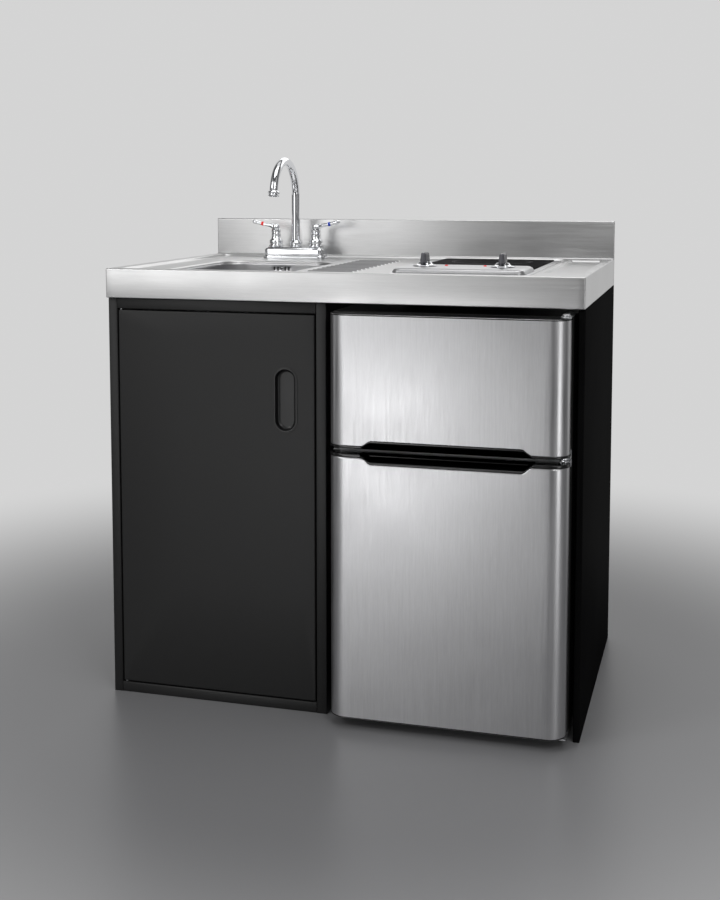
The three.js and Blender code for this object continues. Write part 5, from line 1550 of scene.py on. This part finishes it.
@dataclass
class Cabinet(Assembly):
    """The folded steel cabinet."""

    width: float = 990.0
    depth: float = 635.0
    top: float = 846.7
    front: float = 11.0
    sheet: float = 1.5
    stile_left: float = 20.0
    stile_middle: float = 22.0
    stile_right: float = 13.0
    fold: float = 34.0
    fold_right: float = 49.0
    cupboard: float = 477.0
    rail_top: float = 23.0
    rail_bottom: float = 22.0
    rail_fold: float = 20.0
    flange: float = 15.0

    def folded(self, *line: Pair) -> Array:
        """The outline of a sheet folded along a line, the line being its outer side.

        The inner side is the line moved by the sheet's thickness, walked back, with both sides' folds rounded.

        Args:
            line: The outer side's corners, with the sheet on their left.

        Returns:
            A closed outline.
        """
        outer = np.array(line, float)
        ahead = unit_rows(np.diff(outer, axis=0))
        left = np.stack([-ahead[:, 1], ahead[:, 0]], 1)
        shift = np.zeros_like(outer)
        shift[:-1] += left
        shift[1:] += left
        inner = outer + shift * self.sheet
        return np.concatenate([profile(outer, 2.2, 4), profile(inner[::-1], 0.7, 4)])

    def build(self) -> None:
        """The cabinet's pieces: three upright panels and two rails."""
        f, d, w, c = self.front, self.depth, self.width, self.cupboard
        m, r, fold, flange = c - self.stile_middle, w - self.stile_right, f + self.fold, self.flange
        walls = (
            ("cabinet_left_panel", "cabinet_left_side", Palette.coat,
             self.folded((flange, d), (0, d), (0, f), (self.stile_left, f), (self.stile_left, fold))),
            ("cabinet_middle_panel", "cabinet_divider", Palette.coat,
             self.folded((m, fold), (m, f), (c, f), (c, d), (c - flange, d))),
            ("cabinet_right_panel", "cabinet_right_side", Palette.matt,
             self.folded((r, f + self.fold_right), (r, f), (w, f), (w, d), (w - flange, d))),
        )
        for name, node, finish, outline in walls:
            self.piece(name, Surface().prism(outline, Axis.Z, 0.0, self.top, 0.25), finish, node, angle=40.0)
        for name, z0, z1 in (("top", self.top - self.rail_top, self.top), ("bottom", 0.0, self.rail_bottom)):
            channel = self.folded((f + self.rail_fold, z1), (f, z1), (f, z0), (f + self.rail_fold, z0))
            rail = Surface().prism(channel, Axis.X, self.stile_left + 0.3, m - 0.3, 0.25)
            self.piece(f"cabinet_rail_{name}", rail, Palette.coat, f"cabinet_{name}_rail", angle=40.0)
        self.dress(Palette.coat, "cabinet_floor", "cabinet_back", "cabinet_rear_rail")


@dataclass
class CupboardDoor(Assembly):
    """The cupboard's door with its recessed pull."""

    left: float = 22.3
    right: float = 452.7
    bottom: float = 24.3
    top: float = 821.4
    front: float = 11.0
    thickness: float = 18.0
    edge: float = 2.5
    hem: float = 1.2
    pull: Pair = (390.0, 646.5)
    pull_half: Pair = (22.0, 63.5)
    ring: float = 4.0
    cup_depth: float = 14.0
    lining: float = 1.5

    @property
    def back(self) -> float:
        """The plane of the door's back."""
        return self.front + self.thickness

    def skin(self) -> Surface:
        """The pan: a flat face between the pull's hole and the rim, then a quarter round, the edge and a hem.

        On the face each point slides from the hole to the rim.

        Returns:
            The pan, open behind.
        """
        u, v = self.pull
        w, h = self.pull_half[0] + 0.3, self.pull_half[1] + 0.3
        us = lines(self.left + self.edge, self.right - self.edge, 14.0)
        vs = lines(self.bottom + self.edge, self.top - self.edge, 18.0)
        rim, out = border(us, vs, 6)
        core = np.clip(rim, (u, v - h + w), (u, v + h - w))
        hole = core + unit_rows(rim - core) * w
        shares = np.array([0.0, 0.02, 0.2, 0.6, 1.0])[:, None, None]
        face = hole[None] * (1 - shares) + rim[None] * shares
        lip = np.stack([in_plane(hole, self.front + s, Axis.Y) for s in (1.2, 0.0)])
        turn = np.linspace(0.0, QUARTER, 6)
        line = [(self.edge * np.sin(a), self.front + self.edge * (1 - np.cos(a))) for a in turn]
        folded = self.edge - self.hem
        line += [(self.edge, self.back - 0.3), (folded, self.back), (folded, self.front + 6.0)]
        sides = np.stack([in_plane(rim + out * o, y, Axis.Y) for o, y in line])
        surface = Surface()
        for rows in (in_plane(face, self.front, Axis.Y), lip, sides):
            surface.grid(rows, wrap=True, flip=True)
        return surface

    def cup(self) -> Surface:
        """The pull: a raised round-ended ring that rolls over into a deep cup with a rounded floor.

        Returns:
            The pull, open at its rim.
        """
        u, v = self.pull
        half_w, half_h = self.pull_half[0] + self.ring, self.pull_half[1] + self.ring
        f, r, floor = self.front, self.ring, self.front + self.cup_depth - 1.2
        line = profile(
            ((0.5, f - 0.3), (0, f - 0.3), (0.2, f - 1.1), (2.4, f - 1.3), (r + 0.6, f - 1.2),
             (r + 1.5, f + 1.5), (r + 2.6, f + self.cup_depth - 4), (r + 7, floor), (r + 12, floor)),
            (0, 0.3, 0.5, 1.5, 1.2, 1.0, 3.4, 3.0, 0), 6)
        box = (u - half_w, u + half_w, v - half_h, v + half_h)
        return Surface().loft(box, half_w - 0.01, line, Axis.Y, start=False, steps=16)

    def build(self) -> None:
        """The door's pieces."""
        door, inner = "cupboard_door", self.lining
        self.piece("door_face", self.skin(), Palette.coat, "door_skin", door, 40.0, is_open=True)
        self.piece("door_pull", self.cup(), Palette.satin, "door_pull_cup", door, 45.0, sheet=1.0)
        plate = rectangle(self.left + inner, self.right - inner, self.bottom + inner, self.top - inner, 1.5, 4)
        lining = Surface().prism(plate, Axis.Y, self.back - 1.2, self.back, 0.3)
        self.piece("door_lining", lining, Palette.coat, "door_inner_panel", door)
        self.dress(Palette.zinc, "door_top_pivot", "door_bottom_pivot")
        self.dress(Palette.gloss, "door_catch")


@dataclass
class DoorLeaf:
    """One refrigerator door: where its steel ends, where its moulding meets the gap and the pocket's reach."""

    name: str
    far: float
    seam: float
    edge: float
    reach: float

    @property
    def toward(self) -> float:
        """1 where the pocket climbs from the seam, -1 where it falls."""
        return float(np.sign(self.reach - self.seam))


@dataclass
class Refrigerator(Assembly):
    """The refrigerator: casing, doors with their mouldings, hinges and what is inside."""

    left: float = 495.0
    right: float = 968.0
    front: float = -50.0
    back: float = -10.0
    corner: float = 36.0
    proud: float = 0.8
    pocket_left: float = 568.0
    pocket_right: float = 898.0
    slope: float = 15.0
    pocket_depth: float = 26.0
    pocket_round: float = 12.0
    bead: float = 4.6
    close: tuple[Run, ...] = ((548.0, 600.0, 1.5), (866.0, 916.0, 1.5))
    gasket_box: Pair = (512.0, 944.0)
    gasket_in: float = 14.0
    hinge: Pair = (958.0, -20.0)
    hinge_nose: float = 11.0
    casing_front: float = 6.0
    casing_top: float = 832.0
    compressor_at: Place = (731.5, 386.5, 0.0)
    leaves: tuple[DoorLeaf, ...] = (
        DoorLeaf("freezer_door", 831.0, 573.0, 568.0, 584.0),
        DoorLeaf("fridge_door", 23.0, 550.0, 557.0, 538.0),
    )

    def plan(self, in_by: float, back: float) -> Array:
        """The open plan line of a door: up one side, round the corner, along the front and back again.

        Args:
            in_by: How far inside the door's outline it runs.
            back: Where its sides end.

        Returns:
            The line's points.
        """
        steps = np.linspace(0.0, QUARTER, 14)
        r = self.corner - in_by
        x0, x1 = self.left + self.corner, self.right - self.corner
        y = self.front + self.corner
        left = np.stack([x0 - r * np.cos(steps), y - r * np.sin(steps)], 1)
        right = np.stack([x1 + r * np.sin(steps), y - r * np.cos(steps)], 1)
        flat = lines(x0, x1, 12.0, *self.close)[1:-1]
        face = np.stack([flat, np.full_like(flat, self.front + in_by)], 1)
        return np.concatenate([[(self.left + in_by, back)], left, face, right, [(self.right - in_by, back)]])

    def seam_at(self, x: Array, leaf: DoorLeaf) -> Array:
        """The height of the steel's cut edge: level, and round the pocket on a line with round corners.

        Args:
            x: Places across.
            leaf: The door.

        Returns:
            The heights.
        """
        u0, u1, s = self.pocket_left, self.pocket_right, self.slope
        corners = ((self.left - 1, leaf.seam), (u0, leaf.seam), (u0 + s, leaf.reach),
                   (u1 - s, leaf.reach), (u1, leaf.seam), (self.right + 1, leaf.seam))
        line = profile(corners, self.pocket_round, 8)
        return np.interp(x, line[:, 0], line[:, 1])

    def steel(self, leaf: DoorLeaf) -> Surface:
        """The steel wrap: the plan line carried from its cut edge to the far end, each place scaled between.

        Args:
            leaf: The door.

        Returns:
            The wrap's outer side.
        """
        plan = self.plan(self.proud, self.back)
        edge = self.seam_at(plan[:, 0], leaf)
        share = np.concatenate([[0.0, 0.006], np.linspace(0.05, 0.95, 15), [0.994, 1.0]])[:, None]
        z = edge[None] * (1 - share) + leaf.far * share
        rows = np.concatenate([np.broadcast_to(plan[None], (len(share), *plan.shape)), z[..., None]], -1)
        return Surface().grid(rows, flip=leaf.toward < 0)

    def lean(self, z: float, leaf: DoorLeaf) -> float:
        """How far a pocket's slanting side has come in at a height."""
        return self.slope * (z - leaf.seam) / (leaf.reach - leaf.seam)

    def pocket_ring(self, leaf: DoorLeaf, off: float) -> Array:
        """The moulding's open line about the pocket, from the gap round to the gap.

        Args:
            leaf: The door.
            off: How far in the line has moved.

        Returns:
            The line's points.
        """
        top = leaf.reach - leaf.toward * off
        u0, u1 = self.pocket_left + off, self.pocket_right - off
        low, high = self.lean(leaf.edge, leaf), self.lean(top, leaf)
        corners = ((u0 + low, leaf.edge), (u0 + high, top), (u1 - high, top), (u1 - low, leaf.edge))
        return profile(corners, self.pocket_round - off, 7)

    def moulding(self, leaf: DoorLeaf) -> Surface:
        """The pocket's moulding: its line repeated over a bead, a profile of (in, back), and the hollow's back.

        Args:
            leaf: The door.

        Returns:
            The moulding, open at its rim.
        """
        f, deep = self.front, self.front + self.pocket_depth
        line = profile(
            ((-1.5, f + 4.0), (-1.0, f + 0.9), (0.6, f + 0.05), (2.6, f + 0.05), (4.0, f + 1.2),
             (self.bead, f + 5.0), (5.4, deep - 4), (8.6, deep - 0.4), (9.4, deep - 0.4)),
            (0, 0.5, 0.9, 0.9, 1.0, 2.0, 3.0, 0.5, 0))
        rows = np.stack([in_plane(self.pocket_ring(leaf, o), y, Axis.Y) for o, y in line])
        flip = leaf.toward > 0
        return Surface().grid(rows, flip=flip).face(rows[-1], flip)

    def band(self, leaf: DoorLeaf) -> Surface:
        """The moulding's strip along the gap: the door's plan with the pocket let in, between the two heights.

        Args:
            leaf: The door.

        Returns:
            The strip.
        """
        inwards = self.lean(leaf.edge, leaf) + self.bead
        low, high = self.pocket_left + inwards, self.pocket_right - inwards
        plan = self.plan(0.0, self.back)
        f, deep = self.front, self.front + self.pocket_depth
        notch = profile(((low - 0.4, f), (low, f), (low, deep), (high, deep), (high, f), (high + 0.4, f)),
                        (0, 0.35, 1.5, 1.5, 0.35, 0), 4)
        outline = np.concatenate([plan[plan[:, 0] < low - 0.5], notch, plan[plan[:, 0] > high + 0.5]])
        z = sorted((leaf.edge, leaf.seam + leaf.toward * 0.6))
        return Surface().prism(outline, Axis.Z, *z, 1.6)

    def cap(self, leaf: DoorLeaf) -> Surface:
        """The black cap over the door's far end, with a thin lip over the liner's edge.

        Args:
            leaf: The door.

        Returns:
            The cap.
        """
        plan = self.plan(0.4, self.back - 0.4)
        lip = rectangle(self.left + 2.0, self.right - 2.0, self.back - 3.0, self.back + 7.2, 1.0, 3)
        under = sorted((leaf.far, leaf.far - leaf.toward * 3.0))
        over = sorted((leaf.far + leaf.toward * 0.02, leaf.far + leaf.toward * 0.5))
        return Surface().prism(plan, Axis.Z, *under, 1.2).prism(lip, Axis.Z, *over, 0.15)

    def gasket(self, leaf: DoorLeaf) -> Surface:
        """The gasket: a ring of round-cornered rings over a bellows profile.

        Args:
            leaf: The door.

        Returns:
            The gasket.
        """
        y0, y1 = -2.7, 3.4
        line = profile(((0.0, y0), (0.0, y0 + 1.6), (1.6, y0 + 2.6), (0.4, y0 + 3.6), (0.0, y1), (12.0, y1),
                        (11.6, y0 + 3.6), (10.4, y0 + 2.6), (12.0, y0 + 1.6), (12.0, y0), (0.0, y0)), 0.5, 3)
        low, high = sorted((leaf.edge, leaf.far))
        box = (*self.gasket_box, low + self.gasket_in, high - self.gasket_in)
        return Surface().loft(box, 13.0, line, Axis.Y, end=False, start=False, steps=6)

    def hinge_plate(self, z: float, back: float) -> Surface:
        """A hinge plate with a round end about the pin.

        Args:
            z: Its underside.
            back: Where it ends.

        Returns:
            The plate.
        """
        (x, y), r = self.hinge, self.hinge_nose
        angle = np.linspace(np.pi, 1.5 * np.pi, 12)
        nose = np.stack([x + r * np.cos(angle), y + r * np.sin(angle)], 1)
        outline = np.concatenate([[(x - r, back)], nose, [(x + 10, y - r), (x + 10, back)]])
        return Surface().prism(rounded(outline, 0.5, 2), Axis.Z, z, z + 3.0, 0.6)

    def hinges(self) -> None:
        """The three hinges with their pins, caps and screws."""
        (x, y), r, long = self.hinge, self.hinge_nose, self.casing_front + 60
        pin = ((0, 813), (3, 813), (3, 834), (8, 834), (8, 838.6), (5, 840.2), (0, 840.3))
        top = self.hinge_plate(self.casing_top + 0.3, long).lathe(profile(pin, 0.8), (x, y, 0.0), 32)
        screw = profile(((0, 0), (4.2, 0), (4.2, 1.2), (2.6, 2.2), (0, 2.3)), 0.5)
        for back in (18.0, 44.0):
            top.lathe(screw, (x - 1, self.casing_front + back, self.casing_top + 3.2), 24)
        self.piece("hinge_top", top, Palette.zinc, "fridge_hinge_top", angle=40.0)
        face = self.casing_front - 0.3
        middle = self.hinge_plate(561.0, face)
        middle.prism(rectangle(x - r, x + 10, 545.5, 579.5, 3.0, 5), Axis.Y, face - 3.0, face, 0.5)
        pin = ((0, 539), (3, 539), (3, 557.5), (5.4, 558), (5.4, 567), (3, 567.5), (3, 586), (0, 586))
        middle.lathe(profile(pin, 0.3), (x, y, 0.0), 28)
        self.piece("hinge_middle", middle, Palette.chrome, "fridge_hinge_middle", angle=40.0)
        pin = profile(((0, 18.7), (3, 18.7), (3, 41), (0, 41)), 0.4)
        bottom = self.hinge_plate(18.7, long).lathe(pin, (x, y, 0.0), 24)
        self.piece("hinge_bottom", bottom, Palette.zinc, "fridge_hinge_bottom", angle=40.0)

    def compressor(self) -> Surface:
        """The compressor's shell on its round foot: two pressed halves that meet in a welded flange.

        A half's radius is the widest one times the square root of what one exceeds a power of the height's
        share of the half: the sixth power below the flange, the 3.2th above it.

        Returns:
            The shell.
        """
        radius, weld = 56.8, 86.0
        low, high = np.linspace(33.5, 84.0, 14), np.linspace(88.0, 151.4, 26)
        under = radius * np.sqrt(1 - ((weld - low) / 62.4) ** 6)
        over = radius * np.sqrt(np.clip(1 - ((high - weld) / 65.4) ** 3.2, 0, 1))
        foot = ((0, 23.6), (43.5, 23.6), (43.5, 33.0))
        flange = ((58, 84.3), (58, 87.7))
        line = np.concatenate([foot, np.stack([under, low], 1), flange, np.stack([over, high], 1)])
        return Surface().lathe(line, self.compressor_at, 72)

    def build(self) -> None:
        """The refrigerator's pieces."""
        for leaf in self.leaves:
            door = leaf.name
            panel, trim = f"{door}_panel", f"{door}_trim"
            self.piece(f"{door}_steel", self.steel(leaf), Palette.door_steel, panel, door, 40.0, sheet=1.2)
            self.piece(f"{door}_moulding", self.moulding(leaf), Palette.gloss, trim, door, 40.0, sheet=1.0)
            self.piece(f"{door}_band", self.band(leaf), Palette.gloss, trim, door, 40.0)
            self.piece(f"{door}_cap", self.cap(leaf), Palette.gloss, body=door, angle=40.0)
            self.dress(Palette.white, f"{door}_liner")
        for leaf in self.leaves:
            self.piece(f"{leaf.name}_seal", self.gasket(leaf), Palette.rubber, f"{leaf.name}_gasket", leaf.name)
        self.hinges()
        self.dress(Palette.coat, "fridge_casing")
        self.dress(Palette.white, "fridge_liner", "thermostat_dial")
        self.dress(Palette.glass, "fridge_shelf_upper", "fridge_shelf_lower")
        self.dress(Palette.gloss, "fridge_foot_left", "fridge_foot_right")
        self.piece("compressor_shell", self.compressor(), Palette.dark_steel, "fridge_compressor")


# ------------ stage and camera
@dataclass(frozen=True)
class Lamp:
    """A soft rectangular lamp: where it stands, what it faces, its size in metres and its power in watts."""

    name: str
    place: Place
    target: Place
    size: Pair
    power: float


@dataclass
class Studio:
    """The floor, the soft light and the camera.

    `surround` holds rows of (degrees about the upright axis from the front, tone), and `layers` rows of (sine
    of the height above the horizon, factor). `camera_fade` and `mirror_fade` are the distances, in metres, over
    which the floor fades into the backdrop.
    """

    tone: float = 0.66
    floor_tone: float = 0.21
    floor_half: float = 40.0
    floor_roughness: float = 0.36
    camera_fade: Pair = (0.75, 2.1)
    mirror_fade: Pair = (0.1, 1.0)
    eye: Place = (1245.99, -2462.31, 1080.41)
    yaw: float = 0.27532
    pitch: float = 0.08783
    focal: float = 1304.43
    picture: float = 900.0
    sensor: float = 36.0
    shift: float = -150.0 / 900.0
    lamps: tuple[Lamp, ...] = (
        Lamp("low_card", (-0.45, -2.4, 0.18), (0.1, -0.3, 0.5), (0.8, 0.34), 3.3),
        Lamp("left_bank", (-1.95, -3.9, 1.2), (-0.1, -0.3, 0.8), (2.2, 1.8), 21.0),
        Lamp("edge_strip", (1.75, -1.25, 0.45), (0.47, -0.33, 0.4), (0.5, 0.9), 3.2),
        Lamp("rim", (0.35, 2.5, 2.6), (0.0, 0.1, 0.9), (3.4, 1.6), 15.0),
        Lamp("overhead", (0.3, -0.4, 3.6), (0.0, 0.1, 0.0), (2.6, 1.8), 28.0),
        Lamp("key_left", (-2.2, -2.6, 2.9), (0.0, -0.2, 0.6), (1.1, 1.1), 26.0),
        Lamp("key_right", (2.0, -2.7, 2.9), (0.0, -0.2, 0.6), (1.1, 1.1), 26.0),
    )
    surround: Rows = (
        (-180, 0.66), (-145, 0.66), (-122, 0.15), (-64, 0.15), (-56, 0.38), (-44, 0.38), (-41, 0.11),
        (-36, 0.11), (-33, 0.48), (-16, 0.46), (-10, 0.22), (4, 0.20), (8, 0.10), (13, 0.10), (17, 0.40),
        (38, 0.40), (44, 0.12), (60, 0.14), (66, 0.50), (74, 0.50), (80, 0.15), (124, 0.15), (146, 0.66),
        (180, 0.66),
    )
    layers: Rows = (
        (-1.0, 0.6), (-0.12, 0.8), (-0.03, 1.0), (0.45, 1.0), (0.55, 1.2), (0.64, 1.2), (0.7, 0.25),
        (0.82, 0.25), (0.88, 1.2), (1.0, 1.2),
    )
    brightest: float = 1.2

    def place(self, name: str, data: bpy.types.ID, at: Vector, ahead: Vector) -> bpy.types.Object:
        """Puts a lamp or the camera into the scene.

        Args:
            name: Its name.
            data: The lamp or camera.
            at: Where it stands, in metres.
            ahead: The way it looks.

        Returns:
            Its object.
        """
        made = bpy.data.objects.new(name, data)
        bpy.context.scene.collection.objects.link(made)
        made.matrix_world = Matrix.Translation(at) @ ahead.to_track_quat("-Z", "Y").to_matrix().to_4x4()
        return made

    def camera(self) -> None:
        """The camera: it stands at the eye and looks along the yaw and pitch worked out from the photograph."""
        data = bpy.data.cameras.new("camera")
        data.sensor_width = self.sensor
        data.lens = self.focal / self.picture * self.sensor
        data.shift_y = self.shift
        data.clip_start, data.clip_end = 0.05, 200.0
        level = np.cos(self.pitch)
        ahead = Vector((-np.sin(self.yaw) * level, np.cos(self.yaw) * level, -np.sin(self.pitch)))
        at = Vector(((np.array(self.eye) - ORIGIN) / METRE).tolist())
        bpy.context.scene.camera = self.place("camera", data, at, ahead)

    def light(self) -> None:
        """The soft lamps, which the camera itself doesn't see."""
        for lamp in self.lamps:
            data = bpy.data.lights.new(lamp.name, "AREA")
            data.shape = "RECTANGLE"
            data.size, data.size_y = lamp.size
            data.energy = lamp.power
            at = Vector(lamp.place)
            self.place(lamp.name, data, at, Vector(lamp.target) - at).visible_camera = False

    def floor(self) -> None:
        """A wide grey floor that keeps the unit's shadow and fades into the pale backdrop.

        Each fade is a smooth step: of the distance from the unit for the camera, and of the distance behind it,
        along the photograph's view, for gloss and through glass.
        """
        mesh = bpy.data.meshes.new("floor")
        h = self.floor_half
        mesh.from_pydata([(-h, -h, 0), (h, -h, 0), (h, h, 0), (-h, h, 0)], [], [(0, 1, 2, 3)])
        plane = bpy.data.objects.new("floor", mesh)
        bpy.context.scene.collection.objects.link(plane)
        material = bpy.data.materials.new("floor")
        material.use_nodes = True
        n = Paint(material)
        n.set(Base_Color=(self.floor_tone, self.floor_tone, self.floor_tone * 1.03, 1.0),
              Roughness=self.floor_roughness)
        behind = (-np.sin(self.yaw), np.cos(self.yaw), 0.0)
        away = n.reckon("ShaderNodeVectorMath", "LENGTH", n.place)
        along = n.reckon("ShaderNodeVectorMath", "DOT_PRODUCT", n.place, behind)
        fades = []
        for distance, span in ((away, self.camera_fade), (along, self.mirror_fade)):
            fades.append(n.spread(distance.outputs["Value"], *span))
            fades[-1].node.interpolation_type = "SMOOTHSTEP"
        path = n.add("ShaderNodeLightPath").outputs
        mirrored = n.math("MAXIMUM", path["Is Glossy Ray"], path["Is Transmission Ray"])
        fade = n.math("MAXIMUM", n.math("MULTIPLY", fades[0], path["Is Camera Ray"]),
                      n.math("MULTIPLY", fades[1], mirrored))
        glow = n.add("ShaderNodeEmission")
        n.give(glow.inputs["Color"], (self.tone, self.tone, self.tone, 1.0))
        mix = n.add("ShaderNodeMixShader")
        for socket, value in zip(mix.inputs, (fade, n.shader.outputs[0], glow.outputs[0])):
            n.give(socket, value)
        n.give(n.first("OUTPUT_MATERIAL").inputs["Surface"], mix.outputs[0])
        mesh.materials.append(material)

    def sky(self) -> None:
        """The studio round the unit: a tone by the angle about the upright axis, times one by the height.

        The camera sees the backdrop's one tone instead, whichever way it looks.
        """
        world = bpy.data.worlds.new("studio")
        bpy.context.scene.world = world
        world.use_nodes = True
        n = Nodes(world.node_tree)
        parts = n.add("ShaderNodeSeparateXYZ")
        n.give(parts.inputs[0], n.add("ShaderNodeTexCoord").outputs["Generated"])
        x, y, z = parts.outputs
        turn = n.math("ARCTAN2", x, n.math("MULTIPLY", y, -1.0))
        tones = [(degrees / 360.0 + 0.5, tone) for degrees, tone in self.surround]
        factors = [(sine / 2.0 + 0.5, factor / self.brightest) for sine, factor in self.layers]
        around = self.ramp(n, n.spread(turn, -np.pi, np.pi), tones)
        height = self.ramp(n, n.spread(z, -1.0, 1.0), factors)
        studio = n.math("MULTIPLY", n.math("MULTIPLY", around, height), self.brightest)
        plain = n.add("ShaderNodeMix", data_type="FLOAT")
        seen = n.add("ShaderNodeLightPath").outputs["Is Camera Ray"]
        for index, value in ((0, seen), (2, studio), (3, self.tone)):
            n.give(plain.inputs[index], value)
        n.give(n.first("BACKGROUND").inputs["Color"], plain.outputs[0])

    def ramp(self, n: Nodes, value: Socket, stops: list[Pair]) -> Socket:
        """Adds a ramp of greys over a value between 0 and 1.

        Args:
            n: The nodes to add to.
            value: The value.
            stops: Rows of (value, tone).

        Returns:
            The ramp's tone.
        """
        node = n.add("ShaderNodeValToRGB")
        n.give(node.inputs[0], value)
        elements = node.color_ramp.elements
        while len(elements) < len(stops):
            elements.new(0.5)
        for element, (position, tone) in zip(elements, stops):
            element.position = position
            element.color = (tone, tone, tone, 1.0)
        return node.outputs[0]

    def build(self) -> None:
        """Sets the stage."""
        bpy.context.scene.view_settings.view_transform = "Standard"
        self.camera()
        self.floor()
        self.sky()
        self.light()


def main() -> None:
    """Builds the stage, then the assemblies in order."""
    logging.basicConfig(level=logging.INFO, format="%(name)s %(message)s", stream=sys.stdout)
    Studio().build()
    for assembly in (Worktop(), Sink(), Tap(), Hob(), Cabinet(), CupboardDoor(), Refrigerator()):
        LOG.info("building %s", type(assembly).__name__)
        assembly.build()


if __name__ == "__main__":
    main()
